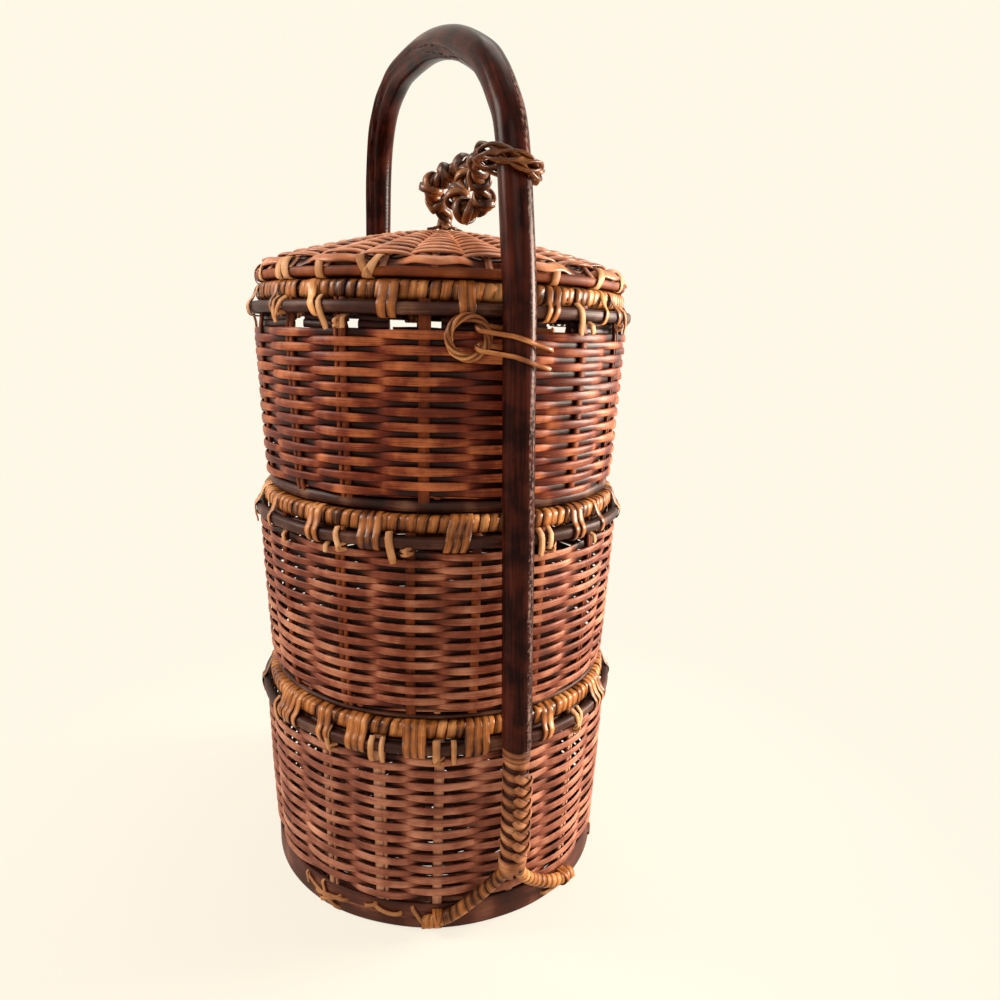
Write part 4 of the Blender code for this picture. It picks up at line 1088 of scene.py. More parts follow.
class Handle:
    """One bent, lacquered cane from the front leg over the arch to the back leg, pale below its dark ends."""

    def __init__(self) -> None:
        """Work out the route and its thickness."""
        leg = [(LEG_X, z, 1.0) for z in (CANE_END_Z, 0.20, 0.27, 0.34)]
        arch = [(LEG_X * x, SPRING_Z + ARCH_RISE * z, share) for x, z, share in ARCH]
        back = [(-x, z, share) for x, z, share in reversed(leg)]
        route = catmull(np.array([*leg, (LEG_X, SPRING_Z, 1.0), *arch, (-LEG_X, SPRING_Z, 1.0), *back]), 8)
        self.share = route[:, 2]
        self.path = np.array([self.leaned(x, z) for x, z in route[:, :2]])
        self.length = float(runs_of(self.path).sum())

    @staticmethod
    def leaned(x: float, z: float) -> tuple[float, float, float]:
        """Return a point of the handle's plane, which leans sideways above the lashing."""
        return (x, -math.tan(HANDLE_LEAN) * max(z - CANE_END_Z, 0.0), z)

    def place(self, height: float) -> np.ndarray:
        """Return the middle of the front leg at a height."""
        front = self.path[self.path[:, 0] > 0]
        order = np.argsort(front[:, 2])
        reach = np.interp(height, front[order, 2], front[order, 0])
        return np.array(self.leaned(float(reach), height))

    def relief(self, along: np.ndarray, angle: np.ndarray) -> np.ndarray:
        """Return the folds along the cane's inner side, as a share of its radius."""
        share = along / self.length
        inner = np.abs(np.abs(angle) - math.pi)
        line = np.interp(share, (0.40, 0.45, 0.50, 0.56, 0.62, 0.70), (2.35, 1.75, 1.20, 1.15, 1.50, 1.75))
        bent = np.clip((share - 0.40) / 0.05, 0, 1) * np.clip((0.74 - share) / 0.08, 0, 1)
        off = angle - line
        first = 0.06 * hump(off, 0.0, 0.12) - 0.25 * hump(off, 0.26, 0.13)
        second = 0.04 * hump(off, 0.55, 0.12) - 0.18 * hump(off, 0.80, 0.13)
        knobs = 0.012 * np.sin(share * 90 + 2 * np.sin(angle)) * hump(inner, 0.0, 1.2)
        return bent * (first + second + knobs)

    def painted_sheen(self, along: np.ndarray, angle: np.ndarray) -> np.ndarray:
        """Return the painted highlight: a sheen line down the front leg's lit side, and a sheen on the bend's
        shoulder.
        """
        share = along / self.length
        line = 0.44 * hump(angle, -0.52, 0.36, 4) * np.clip((0.40 - share) / 0.03, 0, 1)
        return line + 0.12 * hump(share, 0.42, 0.05) * hump(angle, -0.3, 0.8)

    def crease(self, along: np.ndarray, angle: np.ndarray) -> np.ndarray:
        """Return where fine lines cross the inner side of the back bend."""
        return hump(along / self.length, 0.70, 0.12) * (np.abs(angle) > 1.4)

    def build(self, bench: Bench) -> None:
        """Build the cane and the bare cores of its legs."""
        thickness = 2 * LEG_RADIUS * self.share
        values = {"painted_sheen": self.painted_sheen, "bare": nowhere, "crease": self.crease}
        shape = {"sides": 40, "fullness": 1.0, "extra": values, "relief": self.relief}
        cane = Strand(self.path, steady_normals(self.path, (1.0, 0.0, 0.0)), thickness, thickness, **shape)
        values = {"painted_sheen": nowhere, "bare": everywhere, "crease": nowhere}
        height = np.linspace(CANE_END_Z + 0.004, CORE_END_Z, 16)
        cores = []
        for side in (1.0, -1.0):
            sizes = (2 * CORE_RADIUS, 2 * CORE_RADIUS)
            face = np.tile([side, 0.0, 0.0], (16, 1))
            cores.append(Strand(upright(side * LEG_X, height), face, *sizes, sides=20, fullness=1.0, extra=values))
        for name, strands in (("bent_cane", [cane]), ("leg_cores", cores)):
            bench.piece(name, strands, Finish.LACQUER, Body.BASE, Slot.LACQUERED_CANE, "handle")


@dataclass
class LegFoot:
    """Lashing, plait, wide wrap and wrapped arms that hold one leg to the bottom tier."""

    side: str
    turn: float
    seed: int
    loops: int = 8
    # Side, spread in degrees and number of turns of wrapping
    arms: tuple[tuple[str, float, int], ...] = (("left", -23.0, 14), ("right", 29.0, 17))
    # Route of an arm as shares of the way round, down and in
    arm_shares: Rows = (
        (0.00, 0.12, 0.00), (0.04, 0.26, 0.22), (0.12, 0.42, 0.52), (0.24, 0.58, 0.78), (0.38, 0.72, 0.93),
        (0.54, 0.84, 1.00), (0.70, 0.92, 1.00), (0.86, 0.97, 1.00), (1.00, 1.00, 1.00),
    )

    def strand(self, path: np.ndarray, normals: np.ndarray, *sizes: float, **settings) -> Strand:
        """Return a strand turned about the basket's axis to this leg's side."""
        cos, sin = math.cos(self.turn), math.sin(self.turn)
        turned = np.array([[cos, sin, 0.0], [-sin, cos, 0.0], [0.0, 0.0, 1.0]])
        return Strand(path @ turned, normals @ turned, *sizes, **settings)

    def coil(self, angle: np.ndarray, reach, height: np.ndarray, *sizes: float, **settings) -> Strand:
        """Return a strand wound round the leg's core.

        Args:
            angle: Angle round the core at each of its points.
            reach: Distance from the core's middle.
            height: Height at each of its points.
            *sizes: Its width and thickness.
            **settings: Other fields of the strand.

        Returns:
            The strand.
        """
        out = ring(1.0, angle, 0.0)
        reach = np.broadcast_to(reach, (len(angle),))[:, None]
        return self.strand(out * reach + upright(LEG_X, height), out, *sizes, back=0.4, **settings)

    def lashing(self) -> Strand:
        """Return the open lashing, wound down the pale core."""
        count = self.loops * 20 + 1
        angle = np.linspace(0, FULL_TURN * self.loops, count)
        height = np.linspace(0.1318, 0.0632, count) + ripple(count, self.seed, 11, 0.0003)
        tone = 0.5 + ripple(count, self.seed + 1, 9, 0.12)
        return self.coil(angle, CORE_RADIUS + 0.0008, height, 0.0054, 0.0012, fullness=0.5, tone=tone)

    def head_wraps(self) -> Strand:
        """Return the close wraps at the lacquered cane's end."""
        angle = np.linspace(0, 5 * math.pi, 61)
        height = np.linspace(CANE_END_Z + 0.0006, CANE_END_Z - 0.0086, 61)
        return self.coil(angle, CORE_RADIUS + 0.0012, height, 0.0040, 0.0012, fullness=0.6, tone=0.35)

    def wide_wrap(self) -> Strand:
        """Return the wide light wrap round core and arms."""
        angle = np.linspace(0, 4 * math.pi, 73)
        height = np.linspace(0.0592, 0.0540, 73) + 0.0012 * np.sin(angle + 0.4)
        return self.coil(angle, np.linspace(0.0082, 0.0078, 73), height, 0.0056, 0.0011, fullness=0.5, tone=0.6)

    def plait(self) -> list[Strand]:
        """Return the plait beside the lashing, leaf over leaf in a herringbone."""
        bearing = math.radians(12.0)
        out = np.array([math.cos(bearing), math.sin(bearing), 0.0])
        across = np.array([-math.sin(bearing), math.cos(bearing), 0.0])
        foot = np.array([LEG_X, 0.0, 0.0]) + out * 0.0080
        share = np.linspace(0, 1, 12)
        rise = 0.0066 * (1 - share**1.1)
        lift = 0.0016 * np.sin(math.pi * share) + 0.0006 * share
        taper = 0.0053 * (0.8 + 0.2 * np.sin(math.pi * share))
        strands = []
        for k in range(15):
            side = 1 if k % 2 else -1
            level = 0.0600 + 0.0037 * k + rise
            reach = side * (0.0062 * np.cos(share * math.pi * 0.62) - 0.0006)
            path = foot + across * reach[:, None] + out * lift[:, None] + np.outer(level, (0.0, 0.0, 1.0))
            normals = out + across * (side * 0.9 * np.cos(share * math.pi * 0.5))[:, None]
            # Painted shade: the leaves of one side are a little darker than those of the other
            tone = 0.5 - 0.05 * side
            strands.append(self.strand(path, normals, taper, 0.0013, fullness=0.4, tone=tone, start=0.1 * k))
        return strands

    def arm_route(self, spread: float) -> np.ndarray:
        """Return the route of one arm from the core to its end on the foot band."""
        half = math.copysign(0.0036, spread)
        begin, reach = math.atan2(half, LEG_X), math.hypot(LEG_X, half)
        band = WALL_FOOT_RADIUS + 0.0036
        top, fall = 0.0577, 0.0494
        knots = [(reach, begin, top)]
        for along, drop, inward in self.arm_shares:
            knots.append((reach + (band - reach) * inward, begin + (spread - begin) * along, top - fall * drop))
        radius, turn, height = catmull(np.array(knots), 10).T
        return ring(radius, turn, height)

    def arm(self, spread: float, wraps: int) -> list[Strand]:
        """Return an arm's core and its tight wrapping."""
        path = self.arm_route(math.radians(spread))
        side = steady_normals(path, (1.0, 0.0, 0.0))
        core = self.strand(path, side, 0.0062, 0.0062, fullness=1.0, tone=0.1)
        count = wraps * 16
        index, known = np.linspace(0, len(path) - 1, count), np.arange(len(path))
        centre, facing = [
            np.stack([np.interp(index, known, rows[:, k]) for k in range(3)], axis=1) for rows in (path, side)
        ]
        facing = unit(facing)
        across = np.cross(facing, tangents(centre))
        draw = np.random.default_rng(self.seed + wraps)
        angle = np.linspace(0, FULL_TURN * wraps, count)
        out = facing * np.cos(angle)[:, None] + across * np.sin(angle)[:, None]
        run = runs_of(path).sum() / wraps
        marks = np.linspace(0, len(path), wraps)
        width = np.interp(index, marks, run * (1.04 + draw.normal(0, 0.03, wraps)))
        tone = np.interp(index, marks, 0.5 + draw.normal(0, 0.12, wraps))
        radius = 0.0036 + 0.0001 * np.sin(index * 0.9)
        wrap = self.strand(centre + out * radius[:, None], out, width, 0.0009, fullness=0.25, back=0.4, tone=tone)
        return [core, wrap]

    def arm_tie(self, spread: float) -> list[Strand]:
        """Return the crossed turns that tie an arm's end to the foot band."""
        x, y, height = self.arm_route(math.radians(spread))[-12]
        bow = np.linspace(math.pi / 2, -math.pi / 2, 12)
        tucked, half = [WALL_FOOT_RADIUS + 0.0002], 0.0046
        radius = np.concatenate([tucked, WALL_FOOT_RADIUS + 0.0036 + 0.0046 * np.cos(bow), tucked])
        level = height + np.concatenate([[half], 0.0043 * np.sin(bow), [-half]])
        strands = []
        for lean in (-0.016, 0.018, 0.004):
            turn = math.atan2(y, x) + lean * (level - height) / half
            normals = ring(radius - WALL_FOOT_RADIUS - 0.0030, turn, level - height)
            strands.append(self.strand(ring(radius, turn, level), normals, 0.0030, 0.0009, fullness=0.5, tone=0.55))
        return strands

    def build(self, bench: Bench) -> None:
        """Build and dress the pieces at this leg's foot."""
        rows = [
            ("lashing", [self.lashing(), self.head_wraps()], Finish.PLAIT, Slot.PLAITED_CANE, "leg_lashing"),
            ("leg_plait", self.plait(), Finish.PLAIT, Slot.PLAITED_CANE, "plait"),
            ("light_wrap", [self.wide_wrap()], Finish.PLAIT, Slot.GOLDEN_CANE, "wide_wrap"),
        ]
        for name, spread, wraps in self.arms:
            rows.append((f"{name}_wrapped_arm", self.arm(spread, wraps), Finish.ARM, Slot.GOLDEN_CANE, f"{name}_arm"))
            rows.append((f"{name}_tie", self.arm_tie(spread), Finish.BINDING, Slot.GOLDEN_CANE, f"{name}_arm_tie"))
        for name, strands, finish, slot, node in rows:
            bench.piece(f"{self.side}_{name}", strands, finish, Body.BASE, slot, f"{self.side}_{node}")


def twisted(
    path: np.ndarray, facing: np.ndarray, count: int, reach: tuple[float, float], turns: float, size: float, seed: int
) -> list[Strand]:
    """Return strands twisted round a line.

    Args:
        path: The line.
        facing: A side direction at each of its points.
        count: Number of strands.
        reach: Their distance from the line, along the side direction and across it.
        turns: Whole turns along the line.
        size: Thickness of a strand.
        seed: Seed of their tones.

    Returns:
        The strands.
    """
    draw = np.random.default_rng(seed)
    heading = tangents(path)
    facing = square_to(facing, heading)
    across = np.cross(facing, heading)
    share = np.linspace(0, 1, len(path))
    strands = []
    for k in range(count):
        angle = FULL_TURN * (turns * share + k / count)
        offset = facing * (reach[0] * np.cos(angle))[:, None] + across * (reach[1] * np.sin(angle))[:, None]
        line = path + offset
        if is_closed(path) and float(turns).is_integer():
            line[-1] = line[0]
        thick = size * (1 + ripple(len(path), seed + k, 9, 0.06))
        strands.append(Strand(line, offset, thick * 1.15, thick, tone=0.5 + draw.normal(0, 0.12), start=draw.random()))
    return strands


@dataclass
class Tether:
    """Knotted tether from the lid's apex, and the loose ring that it holds round the front leg."""

    handle: Handle
    rise: float = 0.0560
    ring_radius: float = 0.0160
    meets: float = math.radians(201.0)
    thickness: float = 0.0070
    # Share along the line, radius and tilt in degrees
    knots: Rows = (
        (0.17, 0.0056, 20.0), (0.25, 0.0060, 70.0), (0.33, 0.0058, 10.0), (0.41, 0.0062, 60.0), (0.49, 0.0060, 25.0),
        (0.57, 0.0060, 80.0), (0.65, 0.0062, 40.0), (0.74, 0.0058, 5.0), (0.83, 0.0056, 60.0),
    )
    # Points from the lid's seat
    route: Rows = (
        (0.0020, 0.0000, 0.0470), (0.0080, -0.0085, 0.0545), (0.0140, -0.0140, 0.0600), (0.0200, -0.0105, 0.0655),
        (0.0260, -0.0040, 0.0700), (0.0330, 0.0005, 0.0715), (0.0400, 0.0010, 0.0660), (0.0440, -0.0045, 0.0570),
        (0.0475, -0.0090, 0.0490), (0.0530, -0.0050, 0.0430), (0.0590, 0.0015, 0.0450), (0.0650, 0.0005, 0.0515),
        (0.0760, -0.0070, 0.0570), (0.0900, -0.0125, 0.0585),
    )
    # Turn in degrees and reach of each splayed end
    ends: Rows = ((-75, 0.013), (-40, 0.010), (-5, 0.011), (60, 0.012), (150, 0.012), (220, 0.011))

    def ring_place(self) -> Matrix:
        """Return the place and tilt of the leg ring."""
        x, y, z = self.handle.place(LID_SEAT + self.rise)
        tilt = Matrix.Rotation(math.radians(-15.0), 4, "X") @ Matrix.Rotation(math.radians(5.0), 4, "Y")
        return Matrix.Translation((x - 0.0030, y - 0.0016, z)) @ tilt

    def leg_ring(self) -> list[Strand]:
        """Return the loose flat strands of the leg ring."""
        place = self.ring_place()
        turn = np.linspace(0, FULL_TURN, 97)
        path = np.array([place @ Vector(point) for point in ring(self.ring_radius, turn, 0.0)])
        path[-1] = path[0]
        facing = np.array([place.to_3x3() @ Vector(point) for point in ring(1.0, turn, 0.0)])
        strands = twisted(path, facing, 4, (0.0008, 0.0036), 2.0, 0.0015, 71)
        for strand in strands:
            strand.width, strand.fullness = 0.0042, 0.4
        return strands

    def line(self) -> np.ndarray:
        """Return the tether's middle line."""
        place = self.ring_place()
        outer = self.ring_radius + 0.0025
        before, end = [
            tuple(place @ Vector((reach * math.cos(self.meets), reach * math.sin(self.meets), 0.0)))
            for reach in (outer + 0.0070, outer)
        ]
        route = [(x, y, LID_SEAT + z) for x, y, z in self.route]
        start = [(0.0, 0.0, LID_SEAT + 0.0394), (0.0, 0.0, LID_SEAT + 0.0429)]
        return catmull(np.array([*start, *route, before, end]), 8)

    def knot_loops(self, path: np.ndarray) -> list[Strand]:
        """Return the loops of the knots that thicken the tether.

        Args:
            path: The tether's middle line.

        Returns:
            The strands.
        """
        heading = tangents(path)
        side = steady_normals(path, (0.0, 1.0, 0.0))
        turn = np.linspace(0, FULL_TURN, 33)
        strands = []
        for k, (share, radius, tilt) in enumerate(self.knots):
            spot = int(share * (len(path) - 1))
            across = np.cross(heading[spot], side[spot])
            axis = math.radians(tilt)
            first = side[spot] * math.cos(axis) + across * math.sin(axis)
            second = -side[spot] * math.sin(axis) + across * math.cos(axis)
            for lean in (-0.55, 0.45):
                slope = heading[spot] * lean * np.sin(turn + k)[:, None]
                facing = np.outer(np.cos(turn), first) + np.outer(np.sin(turn), second) + slope
                loop = path[spot] + heading[spot] * 0.0016 * np.sign(lean) + facing * radius
                loop[-1] = loop[0]
                tone = 0.45 + 0.2 * lean
                strands.append(Strand(loop, facing, 0.0052, 0.0028, fullness=0.6, tone=tone, start=share))
        return strands

    def splayed_ends(self) -> list[Strand]:
        """Return the ends of the tether's strands that splay out over the lid's apex."""
        share = np.linspace(0, 1, 16)
        settled = np.clip(share / 0.6, 0, 1)
        settled = settled**2 * (3 - 2 * settled)
        strands = []
        for k, (turn, reach) in enumerate(self.ends):
            radius = 0.0016 + (reach - 0.0016) * share**1.6
            over = Lid.surface(radius) + 0.0030
            height = over + (LID_SEAT + 0.0470 - over) * (1 - settled)
            bearing = math.radians(turn) + 0.5 * share
            facing = ring(0.6, bearing, 1.0)
            path = ring(radius, bearing, height)
            strands.append(Strand(path, facing, 0.0030, 0.0018, fullness=0.7, tone=0.55, start=0.1 * k))
        return strands

    def build(self, bench: Bench) -> None:
        """Build the tether and its ring."""
        path = self.line()
        side = steady_normals(path, (0.0, 1.0, 0.0))
        strands = twisted(path, side, 3, (0.0026, 0.0026), 6.0, 0.0045, 72)
        look = (Finish.KNOT, Body.LID, Slot.KNOTTED_RATTAN)
        bench.piece("leg_ring_strands", self.leg_ring(), *look, "leg_ring")
        tether = bench.piece("tether_strands", strands, *look, "lid_tether")
        loops = bench.piece("tether_knots", self.knot_loops(path), *look, "lid_tether")
        ends = bench.piece("tether_splayed_ends", self.splayed_ends(), *look, "lid_tether")
        length = float(runs_of(path).sum())
        LOG.info("tether: %.0f mm along its middle line", length * 1000)


@dataclass
class Latch:
    """Small twisted ring at the front leg and the cane turns that hold it."""

    handle: Handle
    drop: float = 0.0137
    shift: float = 0.0305
    radius: float = 0.0104
    strand: float = 0.0035
    tie: float = 0.0016

    def directions(self) -> tuple[Vector, Vector]:
        """Return the directions outward from the wall and across it at the ring."""
        turn = -self.shift / HOOP_RADIUS
        outward = Vector((math.cos(turn), math.sin(turn), 0.0))
        return outward, Vector((-outward.y, outward.x, 0.0))

    def ring_strands(self) -> list[Strand]:
        """Return the twisted strands of the latch ring."""
        outward, across = self.directions()
        reach = HOOP_RADIUS + 0.0004 + self.strand / 2
        centre = outward * reach + Vector((0.0, 0.0, TOP_HOOP_Z - self.drop))
        turn = np.linspace(0, FULL_TURN, 73)
        up = np.array([0.0, 0.0, 1.0])
        facing = np.outer(np.cos(turn), np.array(across)) + np.outer(np.sin(turn), up)
        path = np.array(centre) + facing * self.radius
        path[-1] = path[0]
        return twisted(path, facing, 4, (0.0015, 0.0012), 2.0, 0.0018, 81)

    def tie_strand(self) -> Strand:
        """Return the cane that is wound twice round the leg and the ring."""
        outward, across = self.directions()
        leg = Vector(self.handle.place(TOP_HOOP_Z - self.drop)).to_2d()
        leg_reach = LEG_RADIUS + 0.0004 + self.tie / 2
        loop_reach = self.strand / 2 + 0.0020 + self.tie / 2
        off_wall = WALL_TOP_RADIUS + 0.0004 + self.tie / 2 + loop_reach
        inset = 0.0050 + 0.15 * self.radius
        sag = self.radius - math.sqrt(self.radius**2 - inset**2)
        loop = outward.to_2d() * off_wall + across.to_2d() * (self.radius - sag)
        first = math.atan2(loop.y - leg.y, loop.x - leg.x) + math.pi
        rows, faces = [], []
        for turn in np.linspace(0, 2 * FULL_TURN, 97):
            normal = Vector((math.cos(first + turn), math.sin(first + turn)))
            on_leg, on_loop = leg + normal * leg_reach, loop + normal * loop_reach
            spot = on_leg if on_leg.dot(normal) > on_loop.dot(normal) else on_loop
            spot = spot + normal * 0.0075 * max(0.0, normal.dot(Vector((0.25, 0.97)))) ** 8
            drop = 0.0063 + 0.0100 * turn / FULL_TURN
            rows.append((spot.x, spot.y, TOP_HOOP_Z - drop - 0.15 * (spot.y - leg.y)))
            faces.append((normal.x, normal.y, 0.0))
        return Strand(np.array(rows), np.array(faces), 0.0026, 0.0012, fullness=0.7, tone=0.5)

    def build(self, bench: Bench) -> None:
        """Build the latch ring and its tie."""
        strands, tie = self.ring_strands(), self.tie_strand()
        bench.piece("latch_ring_strands", strands, Finish.LATCH, Body.LATCH, Slot.KNOTTED_RATTAN, "latch_ring")
        bench.piece("latch_tie_turns", [tie], Finish.LATCH, Body.BASE, Slot.GOLDEN_CANE, "latch_tie")


class Studio:
    """Camera, lamps, floor and backdrop."""

    # Name, place, side of the square in metres, power in watts and colour
    lamps = (
        ("key", (0.32, 1.40, 0.55), 0.5, 66.0, "ffeedd"),
        ("left", (-0.40, -1.20, 1.00), 0.6, 25.0, "fff2e6"),
        ("front", (1.25, -0.55, 1.10), 0.8, 5.5, "fff0e6"),
        ("top", (-0.3, 0.3, 1.7), 0.8, 7.0, "fff4ea"),
    )

    @staticmethod
    def camera() -> None:
        """Place the camera at the photograph's viewpoint."""
        data = bpy.data.cameras.new("camera")
        data.lens = 27.0
        data.sensor_width = 36.0
        data.clip_start = 0.01
        item = bpy.data.objects.new("camera", data)
        right = Vector((0.40932794, 0.91195171, 0.02819066))
        up = Vector((-0.20939859, 0.06382553, 0.97574512))
        back = Vector((0.88803315, -0.40530282, 0.21708698))
        turn = Matrix((right, up, back)).transposed().to_4x4()
        item.matrix_world = Matrix.Translation((0.49143724, -0.17818889, 0.36846756)) @ turn
        bpy.context.scene.collection.objects.link(item)
        bpy.context.scene.camera = item

    @staticmethod
    def lamp(name: str, place: tuple[float, float, float], size: float, watts: float, colour: str) -> None:
        """Add a soft square lamp that points at the basket.

        Args:
            name: Name of the lamp.
            place: Where it hangs.
            size: Side of the square.
            watts: Its power.
            colour: Its colour in hex.
        """
        data = bpy.data.lights.new(name, "AREA")
        data.size = size
        data.energy = watts
        data.color = linear_colour(colour)[:3]
        item = bpy.data.objects.new(name, data)
        item.location = place
        aim = Vector((0.0, 0.0, 0.28)) - Vector(place)
        item.rotation_euler = aim.to_track_quat("-Z", "Y").to_euler()
        bpy.context.scene.collection.objects.link(item)

    @staticmethod
    def seen_share(tree: bpy.types.NodeTree) -> bpy.types.NodeSocket:
        """Return one for rays from the camera, from gloss and through glass, and zero for the rest."""
        rays = add_node(tree, "ShaderNodeLightPath").outputs
        seen = rays["Is Camera Ray"]
        for name in ("Is Glossy Ray", "Is Transmission Ray"):
            seen = add_node(tree, "ShaderNodeMath", {0: seen, 1: rays[name]}, operation="MAXIMUM").outputs[0]
        return seen

    def floor(self) -> None:
        """Add the pale floor, seen as cream, which keeps the basket's soft shadow near the basket."""
        form = bmesh.new()
        bmesh.ops.create_grid(form, x_segments=4, y_segments=4, size=6.0)
        mesh = bpy.data.meshes.new("floor")
        form.to_mesh(mesh)
        form.free()
        item = bpy.data.objects.new("floor", mesh)
        item.location = (0.0, 0.0, -0.0002)
        recipe = Recipe("studio_floor_paper")
        tree = recipe.tree
        reach = add_node(tree, "ShaderNodeVectorMath", {0: recipe.place}, operation="LENGTH").outputs["Value"]
        glow_share = recipe.ranged(reach, (0.12, 0.42), (0.8, 1.0), interpolation_type="SMOOTHSTEP")
        share = recipe.sum("MULTIPLY", self.seen_share(tree), glow_share)
        paper = add_node(tree, "ShaderNodeBsdfDiffuse", {"Color": linear_colour("efe6d6")}).outputs["BSDF"]
        glow = add_node(tree, "ShaderNodeEmission", {"Color": linear_colour(CREAM), "Strength": 1.0})
        mix = add_node(tree, "ShaderNodeMixShader", {0: share, 1: paper, 2: glow.outputs["Emission"]})
        add_node(tree, "ShaderNodeOutputMaterial", {"Surface": mix.outputs["Shader"]})
        mesh.materials.append(recipe.material)
        bpy.context.scene.collection.objects.link(item)

    def world(self) -> None:
        """Set a soft even surround that is seen as cream."""
        world = bpy.data.worlds.new("studio")
        bpy.context.scene.world = world
        world.use_nodes = True
        tree = world.node_tree
        tree.nodes.clear()
        soft, seen = [
            add_node(tree, "ShaderNodeBackground", {"Color": linear_colour(colour), "Strength": strength})
            for colour, strength in (("f4e8dc", 0.12), (CREAM, 1.0))
        ]
        shares = {0: self.seen_share(tree), 1: soft.outputs["Background"], 2: seen.outputs["Background"]}
        mix = add_node(tree, "ShaderNodeMixShader", shares)
        add_node(tree, "ShaderNodeOutputWorld", {"Surface": mix.outputs["Shader"]})

    def build(self) -> None:
        """Set up the whole studio."""
        self.camera()
        self.floor()
        self.world()
        for lamp in self.lamps:
            self.lamp(*lamp)
        bpy.context.scene.view_settings.view_transform = "Standard"


# Straps on the foot band as turn, height, last turn, last height, width and how far the middle hangs
BAND_TIES: Rows = (
    (-66.6, 0.0150, -51.6, 0.0016, 0.0030, 0.0000), (-51.0, 0.0120, -60.5, 0.0020, 0.0030, 0.0004),
    (-62.6, 0.0066, -48.4, 0.0106, 0.0034, -0.0004), (-66.4, 0.0160, -65.2, 0.0080, 0.0024, 0.0000),
    (-58.6, 0.0172, -57.4, 0.0090, 0.0030, 0.0000), (-39.6, 0.0150, -30.6, 0.0108, 0.0030, 0.0026),
    (-42.5, 0.0120, -38.4, 0.0150, 0.0026, 0.0004), (-27.4, 0.0160, -23.4, 0.0030, 0.0030, 0.0000),
    (15.8, 0.0052, 25.8, 0.0034, 0.0026, 0.0006), (51.2, 0.0170, 52.0, 0.0050, 0.0022, 0.0000),
    (120.0, 0.0150, 131.0, 0.0020, 0.0030, 0.0000), (131.0, 0.0130, 121.0, 0.0020, 0.0030, 0.0000),
    (118.0, 0.0070, 133.0, 0.0090, 0.0032, 0.0000), (-128.0, 0.0150, -117.0, 0.0040, 0.0030, 0.0000),
    (-116.5, 0.0140, -127.0, 0.0030, 0.0030, 0.0000),
)

# What the photograph shows of each tier, from the bottom up: stake strips as offset and width, straps as turn, width
# and slant, cut ends as turn, start, tip, lean and width, and knots as turn and height
BOTTOM_LOOK = TierLook(
    weave=Finish.WEAVE_BOTTOM,
    stake=Finish.STAKE_PALE,
    strand_height=0.0050,
    stake_strips=(
        ((-0.0012, 0.0042), (0.0030, 0.0024)), ((-0.0008, 0.0058), (0.0038, 0.0024)), ((0.0, 0.0062),),
        ((0.0, 0.0055),), ((-0.0014, 0.0034), (0.0024, 0.0026)),
    ),
    straps=(
        (-74.5, 0.0040, 1.5), (-66.2, 0.0042, 1.0), (-55.6, 0.0042, 2.0), (-53.2, 0.0040, 2.0), (-45.4, 0.0044, 0.5),
        (-43.3, 0.0042, 0.5), (-41.3, 0.0038, 0.3), (-28.6, 0.0044, 0.6), (-26.5, 0.0044, 0.4), (-24.4, 0.0042, 0.2),
        (-11.4, 0.0046, -0.8), (-9.0, 0.0044, -0.8), (-6.7, 0.0040, -0.8), (12.1, 0.0040, -2.0), (14.3, 0.0042, -2.5),
        (37.1, 0.0042, -1.0), (39.6, 0.0040, -1.0),
    ),
    cut_ends=(
        (-52.4, 0.0060, -0.0080, 0.6, 0.0036), (-38.5, 0.0060, -0.0085, 0.2, 0.0040),
        (-35.4, 0.0060, -0.0085, 0.2, 0.0034), (-20.4, 0.0058, -0.0070, 0.0, 0.0046),
        (-15.7, 0.0058, -0.0085, 0.0, 0.0032), (24.6, 0.0062, -0.0060, 1.5, 0.0038),
        (27.5, 0.0062, -0.0070, -1.5, 0.0034),
    ),
    knots=((-19.8, -0.0062), (26.3, -0.0068), (-51.0, -0.0060)),
)
MIDDLE_LOOK = TierLook(
    weave=Finish.WEAVE_MIDDLE,
    stake=Finish.STAKE_BROWN,
    strand_height=0.0045,
    stake_strips=(
        ((0.0, 0.0050),), ((-0.0012, 0.0036), (0.0026, 0.0028)), ((0.0, 0.0062),), ((0.0, 0.0056),),
        ((0.0, 0.0052),), ((-0.0016, 0.0030), (0.0018, 0.0030)),
    ),
    straps=(
        (-76.5, 0.0040, 1.5), (-57.6, 0.0044, 1.5), (-55.2, 0.0042, 1.5), (-40.7, 0.0044, 0.4), (-38.6, 0.0044, 0.4),
        (-36.6, 0.0040, 0.2), (-17.4, 0.0042, -2.4), (-15.3, 0.0042, -2.4), (-13.2, 0.0040, -2.4),
        (20.6, 0.0042, -1.5), (23.4, 0.0042, -1.5), (33.4, 0.0040, 1.0),
    ),
    cut_ends=(
        (-69.0, -0.0030, -0.0100, 1.0, 0.0034), (-51.5, -0.0028, -0.0095, 0.0, 0.0036),
        (-48.4, 0.0058, -0.0060, 1.5, 0.0040), (-33.4, 0.0060, -0.0115, 1.4, 0.0046),
        (7.3, 0.0060, -0.0100, 0.5, 0.0044), (10.7, 0.0062, -0.0060, -0.5, 0.0038),
        (29.0, -0.0028, -0.0100, 1.0, 0.0034),
    ),
    knots=((-28.6, -0.0042), (-47.0, -0.0050), (11.5, -0.0060)),
)
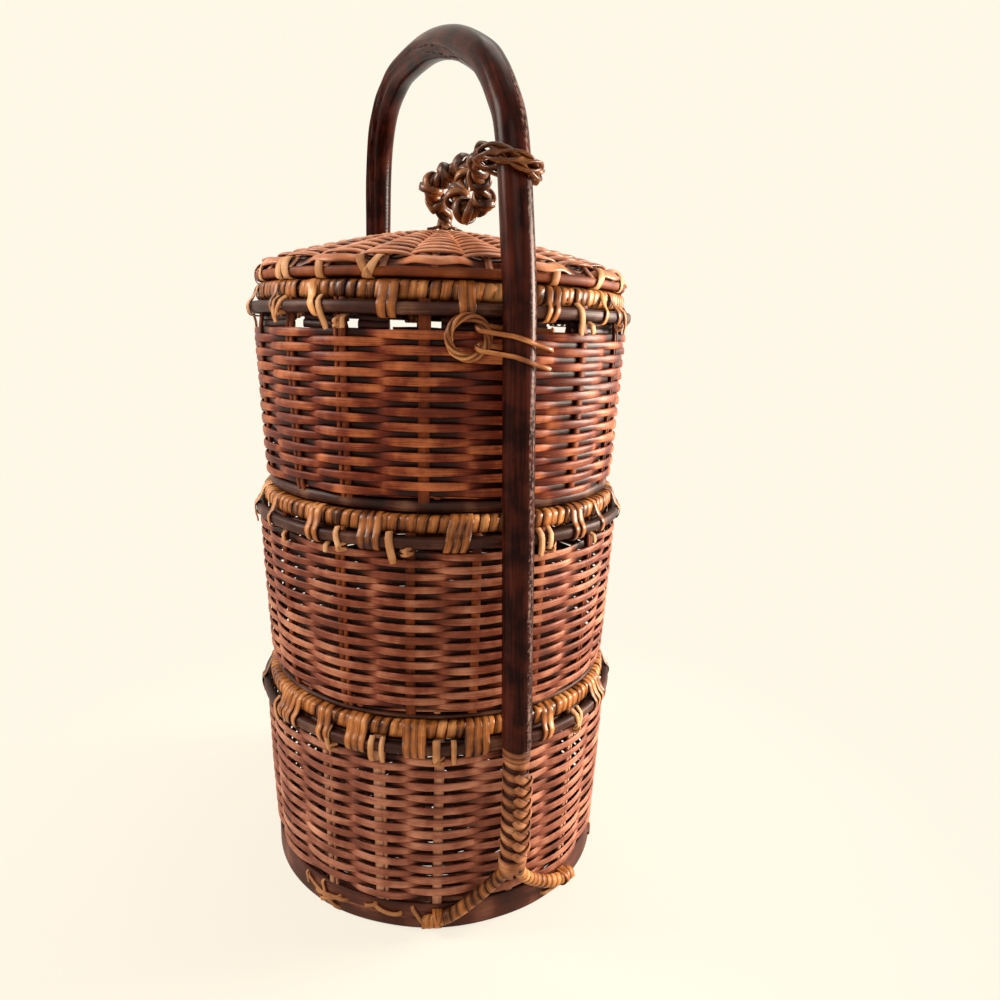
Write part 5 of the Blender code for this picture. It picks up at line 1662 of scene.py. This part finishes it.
TOP_LOOK = TierLook(
    weave=Finish.WEAVE_TOP,
    stake=Finish.STAKE_BROWN,
    strand_height=0.0050,
    stake_strips=(
        ((-0.0020, 0.0030), (0.0022, 0.0032)), ((-0.0030, 0.0024), (0.0012, 0.0046)), ((0.0, 0.0068),),
        ((0.0, 0.0055),), ((0.0, 0.0056),), ((-0.0020, 0.0026), (0.0016, 0.0030)),
    ),
    straps=(
        (-70.5, 0.0038, 2.0), (-54.6, 0.0048, 3.2), (-34.7, 0.0048, 0.0), (-32.2, 0.0048, 0.0), (-15.2, 0.0040, 0.0),
        (-13.2, 0.0040, 0.0), (7.6, 0.0036, -2.6), (10.0, 0.0036, -3.4), (29.2, 0.0040, -2.5), (36.0, 0.0040, 2.0),
    ),
    cut_ends=(
        (-69.0, 0.0058, -0.0085, 0.5, 0.0040), (-65.0, 0.0055, -0.0052, -3.0, 0.0034),
        (-52.4, 0.0062, -0.0115, 2.6, 0.0040), (-45.4, -0.0030, -0.0105, 0.2, 0.0044),
        (17.6, 0.0062, -0.0110, 0.8, 0.0048), (22.4, -0.0030, -0.0100, 1.0, 0.0046),
        (41.0, 0.0058, -0.0090, 2.0, 0.0040),
    ),
    knots=((-46.6, -0.0074), (-66.4, -0.0020), (39.0, -0.0050)),
    slot_rows=((-105, -65.6), (-61.2, -50.4), (-48.6, -46.0), (-42.6, -34.2), (-20.4, 9.4), (18.2, 70)),
)


def make_tiers() -> list[WovenTier]:
    """Return the three tiers from the bottom up."""
    return [
        WovenTier(
            "bottom", Body.BASE, seat=0.0, hoop_z=0.1276, foot=0.0020, weave_low=0.0166, weave_top=0.1222, rows=24.1,
            seen_stakes=(-54.7, -37.2, -19.8, 3.6, 25.3), seed=100, look=BOTTOM_LOOK,
        ),
        WovenTier(
            "middle", Body.MIDDLE, seat=0.143537, hoop_z=0.253537, foot=0.0028, weave_low=0.1462, weave_top=0.2480,
            rows=25.0, seen_stakes=(-71.8, -48.8, -28.2, -9.8, 10.0, 30.7), seed=200, look=MIDDLE_LOOK,
        ),
        WovenTier(
            "top", Body.TOP, seat=0.269474, hoop_z=TOP_HOOP_Z, foot=0.0070, weave_low=0.2746, weave_top=0.3714,
            rows=22.5, seen_stakes=(-65.7, -47.2, -24.7, -1.5, 22.3, 42.6), seed=300, look=TOP_LOOK,
        ),
    ]


def main() -> None:
    """Build the basket and its studio."""
    logging.basicConfig(level=logging.INFO, format="%(message)s")
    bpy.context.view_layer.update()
    Studio().build()
    bench = Bench()
    for tier in make_tiers():
        tier.build(bench)
    Lid().build(bench)
    handle = Handle()
    handle.build(bench)
    LegFoot("front", 0.0, 91).build(bench)
    LegFoot("back", math.pi, 95).build(bench)
    Tether(handle).build(bench)
    Latch(handle).build(bench)


if __name__ == "__main__":
    main()
